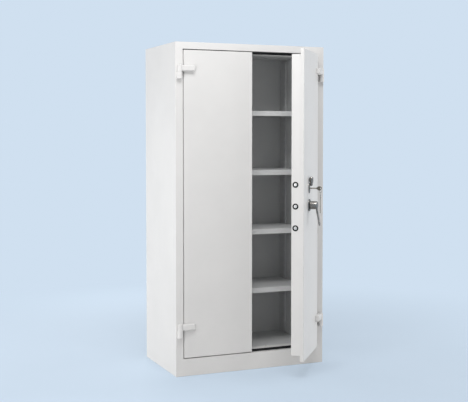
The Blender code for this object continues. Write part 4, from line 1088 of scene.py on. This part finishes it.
def floor_finish():
    """Pale floor that keeps the object's shadow and fades into the backdrop further out."""
    material, tree, shader, where = new_finish("pale_floor")
    speck = noise(tree, where, scale=1.3, detail=4, roughness=0.6)
    toned = add_node(tree, "Mix", data_type="RGBA")
    tree.links.new(backdrop_rays(tree), toned.inputs["Factor"])
    tree.links.new(tones(tree, speck, *FLOOR_LIT), toned.inputs[MIX_A])
    tree.links.new(tones(tree, speck, *FLOOR_SEEN), toned.inputs[MIX_B])
    tree.links.new(toned.outputs[MIX_RESULT], shader.inputs["Base Color"])
    shader.inputs["Roughness"].default_value = FLOOR_ROUGH
    shader.inputs["Specular IOR Level"].default_value = FLOOR_GLOSS
    plain = add_node(tree, "Emission", {"Color": (*BACKDROP, 1), "Strength": 1.0})
    from_middle = add_node(tree, "VectorMath", {0: where}, operation="LENGTH").outputs["Value"]
    fade = between(tree, from_middle, FADE_LEAST, 1.0, FADE_START, FADE_END)
    fade.node.interpolation_type = "SMOOTHSTEP"
    fade_seen = add_node(tree, "Math", {0: fade, 1: backdrop_rays(tree)}, operation="MULTIPLY")
    inputs = {0: fade_seen.outputs["Value"], 1: shader.outputs[0], 2: plain.outputs[0]}
    blended = add_node(tree, "MixShader", inputs)
    tree.links.new(blended.outputs[0], tree.nodes["Material Output"].inputs["Surface"])
    return material


bpy.context.scene.world = studio_world()
floor_mesh = turned(((-FLOOR_THICKNESS, FLOOR_RADIUS), (0, FLOOR_RADIUS)), FLOOR_SIDES)
floor = bpy.data.objects.new("floor", floor_mesh)
bpy.context.scene.collection.objects.link(floor)
floor_mesh.materials.append(floor_finish())
floor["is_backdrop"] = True


# Lights: name, place, aim, width, height, power in watts

LIGHTS = (
    ("key_light", (-0.55, -1.75, 3.2), (0.1, -0.35, 1.1), 1.5, 0.9, 33),
    ("strip_light", (-1.8, -1.6, 1.3), (-0.3, -0.28, 1.05), 0.6, 1.2, 11),
    ("left_light", (-3.0, 1.2, 1.05), (-0.5, 0.0, 1.0), 1.7, 1.6, 36),
    ("right_light", (3.6, -0.7, 1.3), (0.5, -0.45, 1.0), 2.0, 2.4, 44),
    ("back_light", (0.1, 3.6, 1.15), (0.0, 0.3, 1.05), 1.4, 1.5, 46),
)
GLOSS_LIGHT = ("gloss_light", (-0.2, -1.0, 3.05), (0.15, -0.6, 1.05), 1.6, 1.6, 110)
GLOSSY = ("fine_handle", "fine_handle_rose", "fine_keyhole_plate", "fine_keyhole_cover")


def softbox(name, at, aim, width, height, power):
    lamp = bpy.data.lights.new(name, "AREA")
    lamp.shape = "RECTANGLE"
    lamp.size = width
    lamp.size_y = height
    lamp.energy = power
    made = bpy.data.objects.new(name, lamp)
    made.location = at
    made.rotation_euler = (Vector(aim) - Vector(at)).to_track_quat("-Z", "Y").to_euler()
    bpy.context.scene.collection.objects.link(made)
    return made


def shines_on(lamp, pieces):
    """Keeps a lamp's light to the named pieces, as flags round it would."""
    lit = bpy.data.collections.new(lamp.name + "_lit")
    for piece in pieces:
        lit.objects.link(bpy.data.objects[piece])
    lamp.light_linking.receiver_collection = lit


for light in LIGHTS:
    softbox(*light)
shines_on(softbox(*GLOSS_LIGHT), GLOSSY)


# Camera, with its angles in radians and its lens and sensor in millimetres

CAMERA_AT = (-2.287, -5.389, 1.3916)
CAMERA_TURN = -0.4018
CAMERA_TILT = 0.0449
LENS = 73.28
SENSOR = 36.0
SHIFT_Y = -0.05

camera_data = bpy.data.cameras.new("camera")
camera_data.lens = LENS
camera_data.sensor_width = SENSOR
camera_data.shift_y = SHIFT_Y
camera = bpy.data.objects.new("camera", camera_data)
camera.location = CAMERA_AT
camera.rotation_euler = (math.pi / 2 - CAMERA_TILT, 0, CAMERA_TURN)
bpy.context.scene.collection.objects.link(camera)
bpy.context.scene.camera = camera
bpy.context.scene.view_settings.view_transform = "Standard"

low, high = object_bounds()
